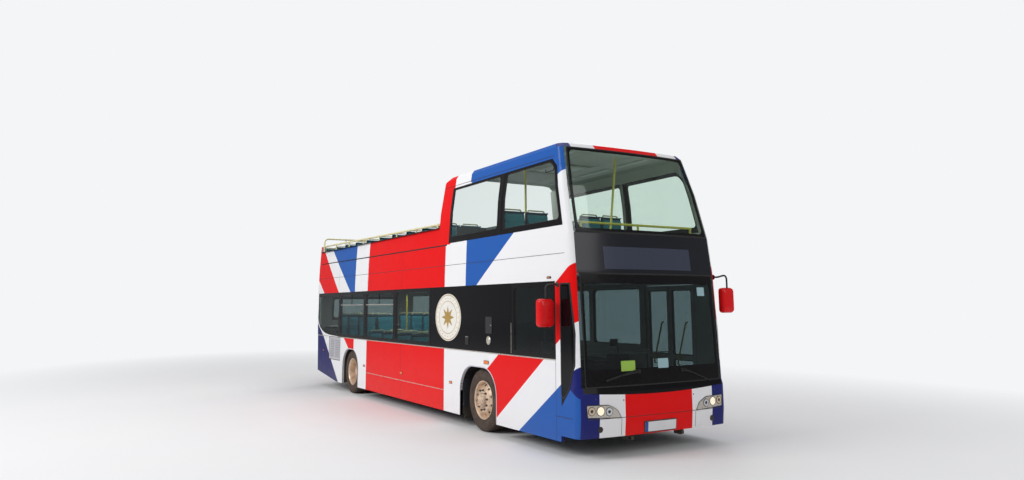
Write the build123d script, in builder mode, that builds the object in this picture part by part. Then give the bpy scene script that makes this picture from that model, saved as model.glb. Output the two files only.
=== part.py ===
from build123d import *
from math import cos, radians, sin, tan
import os

os.makedirs("parts", exist_ok=True)

# An open-top double-decker bus with a roofed front section. Millimetres, +X forward, +Y to the
# left (the kerb side, with the passenger door), +Z up. The origin is on the ground, in the middle.

# Overall sizes
WHEELBASE = 6100
FRONT_OVERHANG = 2700
REAR_OVERHANG = 2650
BODY_WIDTH = 2530
ROOF_HEIGHT = 4170
LENGTH = FRONT_OVERHANG + WHEELBASE + REAR_OVERHANG
FRONT_AXLE_X = LENGTH / 2 - FRONT_OVERHANG
REAR_AXLE_X = FRONT_AXLE_X - WHEELBASE
FRONT_X = LENGTH / 2
REAR_X = -LENGTH / 2
HALF_WIDTH = BODY_WIDTH / 2

# Heights of the body's main lines
SKIRT_Z = 180
REAR_SKIRT_Z = 375
BUMPER_TOP_Z = 800
BAND_BOTTOM_Z = 1200
BAND_TOP_Z = 2220
DECK_SPLIT_Z = 2240
OPEN_TOP_Z = 3245
ROOF_SPLIT_Z = 3930
WALL = 50
GLASS = 8
CORNER_RADIUS = 110
FRONT_CROWN = 50

# Wheels, axles and steering
TYRE_RADIUS = 468
TYRE_WIDTH = 276
BEAD_RADIUS = 292
TWIN_SPACING = 310
WHEEL_INSET = 60
WHEEL_Y = HALF_WIDTH - WHEEL_INSET - TYRE_WIDTH / 2
KINGPIN_Y = 880
KINGPIN_RADIUS = 25
STUB_RADIUS = 45
RUNNING_GAP = 0.05
STEER_ARM_LENGTH = 200
TRACK_ROD_Z = 200
TRACK_ROD_RADIUS = 18

# Floors and chassis
FLOOR_Z = 360
FLOOR_THICKNESS = 30
RAISED_FLOOR_Z = 700
ENGINE_COVER_Z = 1350
UPPER_FLOOR_Z = 2340
UPPER_FLOOR_THICKNESS = 90
RAIL_Y = 430
RAIL_WIDTH = 80
RAIL_INSIDE_Y = RAIL_Y - RAIL_WIDTH / 2
RAIL_OUTSIDE_Y = RAIL_Y + RAIL_WIDTH / 2
RAIL_BOTTOM_Z = 230
RAIL_TOP_Z = FLOOR_Z - FLOOR_THICKNESS

SIDES = (("right", -1), ("left", 1))


def from_front(distance):
    """X of a point given by its distance ahead of the front axle."""
    return FRONT_AXLE_X + distance


def from_rear(distance):
    """X of a point given by its distance ahead of the rear axle."""
    return REAR_AXLE_X + distance


# Stations along the body
REAR_SPLIT_X = REAR_X + 200
REAR_GLASS_X = REAR_X + 160
FRONT_SPLIT_X = from_front(2240)
STAIR_PANEL_X = from_front(-1800)
CAB_REAR_X = from_front(1000)
DOOR_REAR_X = from_front(1020)
DOOR_FRONT_X = from_front(2140)
DOORWAY_Z = (FLOOR_Z + 4, BAND_TOP_Z - 20)
LEAF_GAP = 6
LEAF_THICKNESS = 40
LEAF_PIN_RADIUS = 10
LEAF_PIN_LENGTH = 20
LEAF_Z = (DOORWAY_Z[0] + LEAF_GAP, DOORWAY_Z[1] - LEAF_GAP)
POSTS_X = (DOOR_REAR_X + LEAF_GAP + LEAF_THICKNESS / 2, DOOR_FRONT_X - LEAF_GAP - LEAF_THICKNESS / 2)
POST_Y = HALF_WIDTH - LEAF_THICKNESS / 2
HALF_ROOF_X = from_front(-1545)
SKIRT_SLOPE_X = from_rear(-900)
SALOON_PANES = 4
PANE_GAP = 6
WINDOW_FRAME = 55
WINDOW_CORNER = 60

# The body's plan outline at each height: height, half width, front at the middle, rear
BODY_LEVELS = (
    (SKIRT_Z, HALF_WIDTH, FRONT_X - 30, REAR_X + 150),
    (480, HALF_WIDTH, FRONT_X, REAR_X + 130),
    (BUMPER_TOP_Z, HALF_WIDTH, FRONT_X, REAR_X + 105),
    (870, HALF_WIDTH, FRONT_X - 25, REAR_X + 100),
    (1490, HALF_WIDTH, FRONT_X - 53, REAR_X + 50),
    (UPPER_FLOOR_Z + 10, HALF_WIDTH, FRONT_X - 108, REAR_X),
    (2850, HALF_WIDTH - 15, FRONT_X - 165, REAR_X),
    (3500, HALF_WIDTH - 53, FRONT_X - 339, REAR_X),
    (4070, HALF_WIDTH - 133, FRONT_X - 520, REAR_X),
    (ROOF_HEIGHT - 40, HALF_WIDTH - 175, FRONT_X - 575, REAR_X),
    (ROOF_HEIGHT - 10, HALF_WIDTH - 255, FRONT_X - 685, REAR_X),
    (ROOF_HEIGHT, HALF_WIDTH - 385, FRONT_X - 825, REAR_X),
)


def body_envelope(inset):
    """The space inside the body's skin, inset from it all round and on top, open below."""
    with BuildPart() as envelope:
        for height, half_width, front, rear in BODY_LEVELS:
            half = half_width - inset
            radius = CORNER_RADIUS - inset / 2
            nose = front - inset
            shoulder = nose - FRONT_CROWN
            tail = rear + inset
            top_drop = inset if height > ROOF_HEIGHT - 100 else 0
            below = 1 if inset and height == SKIRT_Z else 0
            chord = radius * (1 - cos(radians(45)))
            with BuildSketch(Plane.XY.offset(height - top_drop - below)):
                with BuildLine():
                    Line((tail + radius, -half), (shoulder - radius, -half))
                    ThreePointArc((shoulder - radius, -half), (shoulder - chord, -half + chord),
                                  (shoulder, -half + radius))
                    ThreePointArc((shoulder, -half + radius), (nose, 0), (shoulder, half - radius))
                    ThreePointArc((shoulder, half - radius), (shoulder - chord, half - chord),
                                  (shoulder - radius, half))
                    Line((shoulder - radius, half), (tail + radius, half))
                    ThreePointArc((tail + radius, half), (tail + chord, half - chord), (tail, half - radius))
                    Line((tail, half - radius), (tail, -half + radius))
                    ThreePointArc((tail, -half + radius), (tail + chord, -half + chord),
                                  (tail + radius, -half))
                make_face()
        loft(ruled=True)
    return envelope.part


def side_outline(points, y_from, y_to, mode=Mode.ADD):
    """Extrude an outline of (x, z) points across the bus between two y values."""
    with BuildSketch(Plane.XZ.offset(-y_from)) as outline:
        with BuildLine():
            Polyline(*points, close=True)
        make_face()
    extrude(outline.sketch, amount=y_from - y_to, mode=mode)


def end_outline(points, x_from, x_to, mode=Mode.ADD):
    """Extrude an outline of (y, z) points along the bus between two x values."""
    with BuildSketch(Plane.YZ.offset(x_from)) as outline:
        with BuildLine():
            Polyline(*points, close=True)
        make_face()
    extrude(outline.sketch, amount=x_to - x_from, mode=mode)


def block(x, y, z, mode=Mode.ADD):
    """A box between the two values of each of x, y and z."""
    with Locations(((x[0] + x[1]) / 2, (y[0] + y[1]) / 2, (z[0] + z[1]) / 2)):
        Box(x[1] - x[0], y[1] - y[0], z[1] - z[0], mode=mode)


def finish(builder, name):
    """Label the finished piece and write it as one STEP file."""
    builder.part.label = name
    export_step(builder.part, f"parts/{name}.step")


OUTER = body_envelope(0)
GLASS_LINE = body_envelope(GLASS)
INNER = body_envelope(WALL)

# Wheel arches: name, axle x, arch rear and front edge from the axle, arch top
ARCHES = (
    ("front", FRONT_AXLE_X, -634, 542, 962),
    ("rear", REAR_AXLE_X, -490, 560, 955),
)
ARCH_CORNER = 400
ARCH_LIP = 6
# Wheel boxes: axle x, rear and front of the inside from the axle, inside edge, top of the inside
WHEEL_BOXES = (
    (FRONT_AXLE_X, -600, 600, 590, 1000),
    (REAR_AXLE_X, -540, 540, 590, 1000),
)
BOX_WALL = 10
AXLE_SLOT = 95

# Side windows, as (rear x, front x); the same frame inset cuts the opening behind each pane
SALOON_PITCH = (STAIR_PANEL_X - REAR_GLASS_X) / SALOON_PANES
SALOON_WINDOWS = [
    (REAR_GLASS_X + SALOON_PITCH * i, REAR_GLASS_X + SALOON_PITCH * (i + 1)) for i in range(SALOON_PANES)
]
STAIR_PANEL = (STAIR_PANEL_X, CAB_REAR_X)
DRIVER_WINDOW = (CAB_REAR_X, DOOR_FRONT_X)
KERB_MIDDLE_X = (STAIR_PANEL_X + CAB_REAR_X - 60) / 2
KERB_WINDOWS = [(STAIR_PANEL_X, KERB_MIDDLE_X), (KERB_MIDDLE_X, CAB_REAR_X - 60)]

# Upper side windows, as outlines of (x, z): rear one upright, front one raked like the screen
UPPER_SILL_Z = 2955
UPPER_HEAD_Z = 3910
UPPER_WINDOWS = (
    ((from_front(-1140), UPPER_SILL_Z), (from_front(600), UPPER_SILL_Z),
     (from_front(600), UPPER_HEAD_Z), (from_front(-1140), UPPER_HEAD_Z)),
    ((from_front(660), UPPER_SILL_Z), (from_front(2310), UPPER_SILL_Z), (from_front(2095), 3790),
     (from_front(1960), UPPER_HEAD_Z), (from_front(660), UPPER_HEAD_Z)),
)
# What is cut away above the open deck, behind the half roof's curved rear pillar
OPEN_DECK = (
    (REAR_X - 100, OPEN_TOP_Z), (HALF_ROOF_X, OPEN_TOP_Z), (from_front(-1490), 4040),
    (from_front(-1325), 4120), (from_front(-1060), ROOF_HEIGHT + 20), (REAR_X - 100, ROOF_HEIGHT + 20),
)
# What is cut away below the rear overhang, where the skirt rises to the tail
DEPARTURE = (
    (REAR_X - 100, 0), (SKIRT_SLOPE_X, 0), (SKIRT_SLOPE_X, SKIRT_Z), (REAR_X, REAR_SKIRT_Z),
    (REAR_X - 100, REAR_SKIRT_Z),
)
# The split between side and front panels, raked in the upper deck
FRONT_PANEL = (
    (FRONT_SPLIT_X, BUMPER_TOP_Z), (FRONT_SPLIT_X, DECK_SPLIT_Z), (from_front(2400), DECK_SPLIT_Z),
    (from_front(2350), 2900), (from_front(2110), ROOF_SPLIT_Z), (FRONT_X + 100, ROOF_SPLIT_Z),
    (FRONT_X + 100, BUMPER_TOP_Z),
)
QUARTER_GLASS = (
    (from_front(2255), 2190), (from_front(2479), 2190), (from_front(2556), 1540),
    (from_front(2556), 1140), (from_front(2440), 830), (from_front(2255), 620),
)
LOWER_SCREEN = ((-1205, 870), (1205, 870), (1195, 2310), (-1195, 2310))
MIDDLE_PANEL = ((-1195, 2316), (1195, 2316), (1185, 2850), (-1185, 2850))
UPPER_SCREEN = ((-1185, 2860), (1185, 2860), (1150, 3500), (1078, 4070), (-1078, 4070), (-1150, 3500))
SCREEN_REAR_X = from_front(2050)
REAR_PANEL_TOP_Z = 3400
REAR_WINDOW = ((-900, 1560), (900, 1560), (880, 2140), (-880, 2140))
ENGINE_DOOR_Y = 950
ENGINE_DOOR_Z = (620, 1400)
DOOR_CLEAR = 6
DOOR_TOP_CLEAR = 10
ENGINE_PIN = (REAR_X + 68, ENGINE_DOOR_Z[1] - 10)
ENGINE_PIN_RADIUS = 5


def pane(x_rear, x_front):
    return ((x_rear + PANE_GAP / 2, BAND_BOTTOM_Z), (x_front - PANE_GAP / 2, BAND_BOTTOM_Z),
            (x_front - PANE_GAP / 2, BAND_TOP_Z), (x_rear + PANE_GAP / 2, BAND_TOP_Z))


# Side panels of the lower deck
for side, sign in SIDES:
    face_y = sign * (HALF_WIDTH + 10)
    with BuildPart() as side_lower:
        add(OUTER)
        add(INNER, mode=Mode.SUBTRACT)
        block((REAR_SPLIT_X, FRONT_SPLIT_X), sorted((0, face_y)), (SKIRT_Z, DECK_SPLIT_Z), Mode.INTERSECT)
        band_end_x = DRIVER_WINDOW[1] if side == "right" else KERB_WINDOWS[-1][1]
        with BuildPart(mode=Mode.PRIVATE) as recess:
            block((REAR_GLASS_X, band_end_x), sorted((0, face_y)), (BAND_BOTTOM_Z, BAND_TOP_Z))
            add(GLASS_LINE, mode=Mode.SUBTRACT)
        add(recess.part, mode=Mode.SUBTRACT)
        openings = SALOON_WINDOWS + ([DRIVER_WINDOW] if side == "right" else KERB_WINDOWS)
        for x_rear, x_front in openings:
            opening_x = (max(x_rear, REAR_SPLIT_X + 20) + WINDOW_FRAME, x_front - WINDOW_FRAME)
            with BuildSketch(Plane.XZ.offset(-face_y)):
                with Locations((sum(opening_x) / 2, (BAND_BOTTOM_Z + BAND_TOP_Z) / 2)):
                    RectangleRounded(opening_x[1] - opening_x[0], BAND_TOP_Z - BAND_BOTTOM_Z - 2 * WINDOW_FRAME,
                                     WINDOW_CORNER)
            extrude(amount=sign * 200, mode=Mode.SUBTRACT)
        for name, axle_x, rear, front, top in ARCHES:
            with BuildSketch(Plane.XZ.offset(-face_y)):
                with Locations((axle_x + (rear + front) / 2, 0)):
                    RectangleRounded(front - rear, 2 * top, ARCH_CORNER)
            extrude(amount=sign * 200, mode=Mode.SUBTRACT)
        for axle_x, rear, front, inner_y, top in WHEEL_BOXES:
            block((axle_x + rear - BOX_WALL, axle_x + front + BOX_WALL),
                  sorted((0, sign * (HALF_WIDTH - ARCH_LIP))), (0, top + BOX_WALL), Mode.SUBTRACT)
        if side == "left":
            block((DOOR_REAR_X, DOOR_FRONT_X), (0, face_y), DOORWAY_Z, Mode.SUBTRACT)
            for post_x in POSTS_X:
                with Locations((post_x, POST_Y, sum(LEAF_Z) / 2)):
                    Cylinder(LEAF_PIN_RADIUS + RUNNING_GAP, LEAF_Z[1] - LEAF_Z[0] + 2 * LEAF_PIN_LENGTH + 2,
                             mode=Mode.SUBTRACT)
        block((from_rear(-1510), from_rear(-710)), sorted((0, face_y)), (680, 1180), Mode.SUBTRACT)
        side_outline(DEPARTURE, -HALF_WIDTH - 10, HALF_WIDTH + 10, Mode.SUBTRACT)
    finish(side_lower, f"side_lower_{side}")

    with BuildPart() as side_upper:
        add(OUTER)
        add(INNER, mode=Mode.SUBTRACT)
        block((REAR_SPLIT_X, FRONT_X), sorted((0, face_y)), (DECK_SPLIT_Z, ROOF_SPLIT_Z), Mode.INTERSECT)
        side_outline(FRONT_PANEL, -HALF_WIDTH - 10, HALF_WIDTH + 10, Mode.SUBTRACT)
        side_outline(OPEN_DECK, -HALF_WIDTH - 10, HALF_WIDTH + 10, Mode.SUBTRACT)
        for outline in UPPER_WINDOWS:
            side_outline(outline, 0, face_y, Mode.SUBTRACT)
    finish(side_upper, f"side_upper_{side}")

# The glazing: panes in the black band, quarter glasses and rear window below, side windows above
with BuildPart() as glass_lower:
    add(OUTER)
    add(GLASS_LINE, mode=Mode.SUBTRACT)
    with BuildPart(mode=Mode.PRIVATE) as panes:
        for side, sign in SIDES:
            fixed = [STAIR_PANEL, DRIVER_WINDOW] if side == "right" else KERB_WINDOWS
            for x_rear, x_front in SALOON_WINDOWS + fixed:
                side_outline(pane(x_rear, x_front), sign * 300, sign * (HALF_WIDTH + 10))
            side_outline(QUARTER_GLASS, sign * 300, sign * (HALF_WIDTH + 10))
        end_outline(REAR_WINDOW, REAR_X - 10, REAR_SPLIT_X)
    add(panes.part, mode=Mode.INTERSECT)
finish(glass_lower, "glass_lower")

with BuildPart() as glass_upper:
    add(OUTER)
    add(GLASS_LINE, mode=Mode.SUBTRACT)
    with BuildPart(mode=Mode.PRIVATE) as panes:
        for side, sign in SIDES:
            for outline in UPPER_WINDOWS:
                side_outline(outline, sign * 300, sign * (HALF_WIDTH + 10))
    add(panes.part, mode=Mode.INTERSECT)
finish(glass_upper, "glass_upper")

# Front panel with both screens' openings, and the bumper below it
with BuildPart() as front_shell:
    add(OUTER)
    add(INNER, mode=Mode.SUBTRACT)
    side_outline(FRONT_PANEL, -HALF_WIDTH - 10, HALF_WIDTH + 10, Mode.INTERSECT)
    end_outline(LOWER_SCREEN, SCREEN_REAR_X, FRONT_X + 50, Mode.SUBTRACT)
    end_outline(UPPER_SCREEN, SCREEN_REAR_X, FRONT_X + 50, Mode.SUBTRACT)
    with BuildPart(mode=Mode.PRIVATE) as recess:
        end_outline(MIDDLE_PANEL, SCREEN_REAR_X, FRONT_X + 50)
        side_outline(QUARTER_GLASS, -HALF_WIDTH - 10, HALF_WIDTH + 10)
        add(GLASS_LINE, mode=Mode.SUBTRACT)
    add(recess.part, mode=Mode.SUBTRACT)
finish(front_shell, "front_shell")

for name, outlines in (("windscreens", (LOWER_SCREEN, UPPER_SCREEN)), ("destination_panel", (MIDDLE_PANEL,))):
    with BuildPart() as screen:
        add(OUTER)
        add(GLASS_LINE, mode=Mode.SUBTRACT)
        with BuildPart(mode=Mode.PRIVATE) as panes:
            for outline in outlines:
                end_outline(outline, SCREEN_REAR_X, FRONT_X + 50)
        add(panes.part, mode=Mode.INTERSECT)
    finish(screen, name)

with BuildPart() as front_bumper:
    add(OUTER)
    add(INNER, mode=Mode.SUBTRACT)
    block((FRONT_SPLIT_X, FRONT_X + 10), (-HALF_WIDTH - 10, HALF_WIDTH + 10), (255, BUMPER_TOP_Z),
          Mode.INTERSECT)
    with BuildPart(mode=Mode.PRIVATE) as recess:
        side_outline(QUARTER_GLASS, -HALF_WIDTH - 10, HALF_WIDTH + 10)
        add(GLASS_LINE, mode=Mode.SUBTRACT)
    add(recess.part, mode=Mode.SUBTRACT)
finish(front_bumper, "front_bumper")

with BuildPart() as roof_front:
    add(OUTER)
    add(INNER, mode=Mode.SUBTRACT)
    block((HALF_ROOF_X, FRONT_X), (-HALF_WIDTH, HALF_WIDTH), (ROOF_SPLIT_Z, ROOF_HEIGHT + 10), Mode.INTERSECT)
    side_outline(OPEN_DECK, -HALF_WIDTH - 10, HALF_WIDTH + 10, Mode.SUBTRACT)
    end_outline(UPPER_SCREEN, SCREEN_REAR_X, FRONT_X + 50, Mode.SUBTRACT)
finish(roof_front, "roof_front")

# Rear panel, its window and the top-hinged engine door
with BuildPart() as rear_shell:
    add(OUTER)
    add(INNER, mode=Mode.SUBTRACT)
    block((REAR_X - 10, REAR_SPLIT_X), (-HALF_WIDTH - 10, HALF_WIDTH + 10), (SKIRT_Z, REAR_PANEL_TOP_Z),
          Mode.INTERSECT)
    end_outline(REAR_WINDOW, REAR_X - 10, REAR_SPLIT_X, Mode.SUBTRACT)
    block((REAR_X - 10, REAR_SPLIT_X), (-ENGINE_DOOR_Y - DOOR_CLEAR, ENGINE_DOOR_Y + DOOR_CLEAR),
          (ENGINE_DOOR_Z[0] - DOOR_CLEAR, ENGINE_DOOR_Z[1] + DOOR_TOP_CLEAR), Mode.SUBTRACT)
    with Locations(Location((ENGINE_PIN[0], 0, ENGINE_PIN[1]), (90, 0, 0))):
        Cylinder(ENGINE_PIN_RADIUS + RUNNING_GAP, 2 * (ENGINE_DOOR_Y + 36), mode=Mode.SUBTRACT)
    with BuildPart(mode=Mode.PRIVATE) as recess:
        block((REAR_GLASS_X, REAR_SPLIT_X + 10), (-HALF_WIDTH - 10, HALF_WIDTH + 10), (BAND_BOTTOM_Z, BAND_TOP_Z))
        add(GLASS_LINE, mode=Mode.SUBTRACT)
    add(recess.part, mode=Mode.SUBTRACT)
    side_outline(DEPARTURE, -HALF_WIDTH - 10, HALF_WIDTH + 10, Mode.SUBTRACT)
finish(rear_shell, "rear_shell")

with BuildPart() as engine_door:
    add(OUTER)
    add(body_envelope(WALL - 10), mode=Mode.SUBTRACT)
    block((REAR_X - 10, REAR_SPLIT_X), (-ENGINE_DOOR_Y, ENGINE_DOOR_Y), ENGINE_DOOR_Z, Mode.INTERSECT)
    with Locations(Location((ENGINE_PIN[0], 0, ENGINE_PIN[1]), (90, 0, 0))):
        Cylinder(ENGINE_PIN_RADIUS, 2 * (ENGINE_DOOR_Y + 35))
finish(engine_door, "engine_door")

# Floors
STEP_X = from_rear(900)
BULKHEAD_X = from_rear(-1200)
INSIDE_Y = HALF_WIDTH - WALL
LOWER_FLOOR = (
    (STEP_X, FLOOR_Z), (FRONT_SPLIT_X + 200, FLOOR_Z), (FRONT_SPLIT_X + 200, FLOOR_Z - FLOOR_THICKNESS),
    (STEP_X, FLOOR_Z - FLOOR_THICKNESS),
)
RAISED_TOP = (
    (STEP_X, FLOOR_Z - FLOOR_THICKNESS), (STEP_X, RAISED_FLOOR_Z), (BULKHEAD_X, RAISED_FLOOR_Z),
    (BULKHEAD_X, ENGINE_COVER_Z), (REAR_X, ENGINE_COVER_Z),
)
RAISED_UNDER = (
    (REAR_X, ENGINE_COVER_Z - FLOOR_THICKNESS),
    (BULKHEAD_X - FLOOR_THICKNESS, ENGINE_COVER_Z - FLOOR_THICKNESS),
    (BULKHEAD_X - FLOOR_THICKNESS, RAISED_FLOOR_Z - FLOOR_THICKNESS),
    (STEP_X - FLOOR_THICKNESS, RAISED_FLOOR_Z - FLOOR_THICKNESS),
    (STEP_X - FLOOR_THICKNESS, FLOOR_Z - FLOOR_THICKNESS),
)
for name, outline in (("lower_floor", LOWER_FLOOR), ("raised_floor", RAISED_TOP + RAISED_UNDER)):
    with BuildPart() as floor:
        side_outline(outline, -HALF_WIDTH, HALF_WIDTH)
        add(INNER, mode=Mode.INTERSECT)
        for side, sign in SIDES:
            for axle_x, rear, front, inner_y, box_top in WHEEL_BOXES:
                block((axle_x + rear - BOX_WALL, axle_x + front + BOX_WALL),
                      sorted((sign * (inner_y - BOX_WALL), sign * HALF_WIDTH)), (0, box_top + BOX_WALL),
                      Mode.SUBTRACT)
    finish(floor, name)

with BuildPart() as wheel_boxes:
    for side, sign in SIDES:
        for axle_x, rear, front, inner_y, box_top in WHEEL_BOXES:
            block((axle_x + rear - BOX_WALL, axle_x + front + BOX_WALL),
                  sorted((sign * (inner_y - BOX_WALL), sign * INSIDE_Y)), (FLOOR_Z - FLOOR_THICKNESS, box_top + BOX_WALL))
    for side, sign in SIDES:
        for axle_x, rear, front, inner_y, box_top in WHEEL_BOXES:
            block((axle_x + rear, axle_x + front), sorted((sign * inner_y, sign * HALF_WIDTH)),
                  (0, box_top), Mode.SUBTRACT)
        block((REAR_AXLE_X - AXLE_SLOT, REAR_AXLE_X + AXLE_SLOT), (-HALF_WIDTH, HALF_WIDTH),
              (0, TYRE_RADIUS + AXLE_SLOT), Mode.SUBTRACT)
finish(wheel_boxes, "wheel_boxes")

STAIR_Y = (-INSIDE_Y, -INSIDE_Y + 620)
STAIR_FOOT_X = from_front(-1700)
STAIR_HEAD_X = from_front(450)
STAIR_STEPS = 8
WELL_REAR_X = from_front(-1000)
with BuildPart() as upper_floor:
    block((REAR_X, FRONT_SPLIT_X + 130), (-HALF_WIDTH, HALF_WIDTH),
          (UPPER_FLOOR_Z - UPPER_FLOOR_THICKNESS, UPPER_FLOOR_Z))
    add(INNER, mode=Mode.INTERSECT)
    block((WELL_REAR_X, STAIR_HEAD_X), STAIR_Y, (UPPER_FLOOR_Z - 200, UPPER_FLOOR_Z + 10), Mode.SUBTRACT)
finish(upper_floor, "upper_floor")

# Guard round the stair well: a panel along it and one across its rear end, on a kerb
GUARD_HEIGHT = 900
GUARD_WALL = 25
GUARD_SIDE_GAP = 50
GUARD_POLE_X = from_front(280)
POLE_RADIUS = 17
with BuildPart() as stair_guard:
    block((WELL_REAR_X - GUARD_WALL, GUARD_POLE_X - POLE_RADIUS - 1), (STAIR_Y[1], STAIR_Y[1] + GUARD_WALL),
          (UPPER_FLOOR_Z, UPPER_FLOOR_Z + GUARD_HEIGHT))
    block((WELL_REAR_X - GUARD_WALL, WELL_REAR_X), (STAIR_Y[0] + GUARD_SIDE_GAP, STAIR_Y[1] + GUARD_WALL),
          (UPPER_FLOOR_Z, UPPER_FLOOR_Z + GUARD_HEIGHT))
    upright = stair_guard.edges().filter_by(Axis.Z).sort_by(Axis.Y)[-2:]
    fillet(upright, GUARD_WALL * 0.6)
finish(stair_guard, "stair_guard")

rise = (UPPER_FLOOR_Z - FLOOR_Z) / STAIR_STEPS
going = (STAIR_HEAD_X - STAIR_FOOT_X) / STAIR_STEPS
with BuildPart() as staircase:
    zigzag = []
    for i in range(STAIR_STEPS - 1):
        zigzag += [(STAIR_FOOT_X + going * i, FLOOR_Z + rise * i), (STAIR_FOOT_X + going * i, FLOOR_Z + rise * (i + 1))]
    last = STAIR_STEPS - 1
    zigzag += [(STAIR_FOOT_X + going * last, FLOOR_Z + rise * last)]
    zigzag += [(STAIR_HEAD_X, FLOOR_Z + rise * last), (STAIR_HEAD_X, FLOOR_Z + rise * last - 30)]
    zigzag += [(STAIR_FOOT_X + going * last, FLOOR_Z + rise * last - 60), (STAIR_FOOT_X + 120, FLOOR_Z)]
    side_outline(zigzag, STAIR_Y[0], STAIR_Y[1] - 20)
finish(staircase, "staircase")

# Chassis frame: two rails with tow eyes, notched over the front axle, and the cross members between them
BEAM_Z = (172, 262)
TOW_EYE_RADIUS = 20
TOW_EYE_RIM = 15
TOW_EYE_HALF = 20
TOW_EYE_Z = 215
TOW_FRONT_X = FRONT_X - 95
TOW_REAR_X = REAR_X + 262
CHASSIS_REAR_X = REAR_X + 330
CHASSIS_FRONT_X = FRONT_X - 160
# Runs of evenly spaced cross members: rear x, front x, count
CROSS_MEMBERS = (
    (CHASSIS_REAR_X + 30, from_rear(-350), 3),
    (from_rear(350), from_front(-400), 6),
    (from_front(300), CHASSIS_FRONT_X - 30, 3),
)
with BuildPart() as chassis_frame:
    for side, sign in SIDES:
        block((CHASSIS_REAR_X, CHASSIS_FRONT_X), sorted((sign * RAIL_INSIDE_Y, sign * RAIL_OUTSIDE_Y)),
              (RAIL_BOTTOM_Z, RAIL_TOP_Z))
    block((FRONT_AXLE_X - 60, FRONT_AXLE_X + 60), (-HALF_WIDTH, HALF_WIDTH), (0, BEAM_Z[1]), Mode.SUBTRACT)
    for side, sign in SIDES:
        for eye_x, root_x in ((TOW_FRONT_X, CHASSIS_FRONT_X - 60), (TOW_REAR_X, CHASSIS_REAR_X + 60)):
            block(sorted((eye_x, root_x)), sorted((sign * (RAIL_Y - TOW_EYE_HALF), sign * (RAIL_Y + TOW_EYE_HALF))),
                  (TOW_EYE_Z - TOW_EYE_RADIUS - TOW_EYE_RIM, RAIL_BOTTOM_Z + 60))
            with BuildSketch(Plane.XZ.offset(-sign * (RAIL_Y - TOW_EYE_HALF))):
                with Locations((eye_x, TOW_EYE_Z)):
                    Circle(TOW_EYE_RADIUS + TOW_EYE_RIM)
            extrude(amount=-sign * 2 * TOW_EYE_HALF)
            with BuildSketch(Plane.XZ.offset(-sign * (RAIL_Y - TOW_EYE_HALF))):
                with Locations((eye_x, TOW_EYE_Z)):
                    Circle(TOW_EYE_RADIUS)
            extrude(amount=-sign * 2 * TOW_EYE_HALF, mode=Mode.SUBTRACT)
finish(chassis_frame, "chassis_frame")

with BuildPart() as cross_members:
    for rear_x, front_x, count in CROSS_MEMBERS:
        for i in range(count):
            x = rear_x + (front_x - rear_x) * i / (count - 1)
            block((x - 30, x + 30), (-RAIL_INSIDE_Y, RAIL_INSIDE_Y), (RAIL_BOTTOM_Z + 20, RAIL_TOP_Z))
finish(cross_members, "cross_members")

# Front axle beam, dropped under the low floor, with an eye for each kingpin
EYE_RADIUS = 50
EYE_HALF = 60
with BuildPart() as front_axle_beam:
    drop = [(-KINGPIN_Y, 428), (-KINGPIN_Y, 508), (-690, 508), (-610, 262), (610, 262), (690, 508),
            (KINGPIN_Y, 508), (KINGPIN_Y, 428), (770, 428), (690, 172), (-690, 172), (-770, 428)]
    end_outline(drop, FRONT_AXLE_X - EYE_RADIUS, FRONT_AXLE_X + EYE_RADIUS)
    for side, sign in SIDES:
        with Locations((FRONT_AXLE_X, sign * KINGPIN_Y, TYRE_RADIUS)):
            Cylinder(EYE_RADIUS, 2 * EYE_HALF)
    for side, sign in SIDES:
        with Locations((FRONT_AXLE_X, sign * KINGPIN_Y, TYRE_RADIUS)):
            Cylinder(KINGPIN_RADIUS + RUNNING_GAP, 2 * EYE_HALF, mode=Mode.SUBTRACT)
finish(front_axle_beam, "front_axle_beam")

# Steering knuckles: ears over and under the eye, kingpin, stub axle, arm to the track rod
EAR_GAP = 0.5
STUB_END_Y = WHEEL_Y + 90
ARM_PIN_RADIUS = 14
for side, sign in SIDES:
    with BuildPart() as knuckle:
        pivot_y = sign * KINGPIN_Y
        with Locations((FRONT_AXLE_X, pivot_y, TYRE_RADIUS)):
            Cylinder(KINGPIN_RADIUS, 200)
        for level in (1, -1):
            z0, z1 = sorted((TYRE_RADIUS + level * (EYE_HALF + EAR_GAP), TYRE_RADIUS + level * 100))
            with Locations((FRONT_AXLE_X, pivot_y, (z0 + z1) / 2)):
                Cylinder(EYE_RADIUS, z1 - z0)
            block((FRONT_AXLE_X - EYE_RADIUS, FRONT_AXLE_X + EYE_RADIUS), sorted((pivot_y, sign * 960)), (z0, z1))
        block((FRONT_AXLE_X - 60, FRONT_AXLE_X + 60), sorted((sign * 940, sign * 975)), (368, 568))
        with BuildSketch(Plane.XZ.offset(-sign * 970)):
            with Locations((FRONT_AXLE_X, TYRE_RADIUS)):
                Circle(STUB_RADIUS)
        extrude(amount=-sign * (STUB_END_Y - 970))
        arm = [(0, 407), (0, 368), (-60, 368), (-150, 222), (-230, 222), (-230, 252), (-172, 252), (-85, 407)]
        side_outline([(FRONT_AXLE_X + x, z) for x, z in arm], pivot_y - 22, pivot_y + 22)
        with Locations((FRONT_AXLE_X - STEER_ARM_LENGTH, pivot_y, 207)):
            Cylinder(ARM_PIN_RADIUS, 50)
    finish(knuckle, f"knuckle_{side}")

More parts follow.
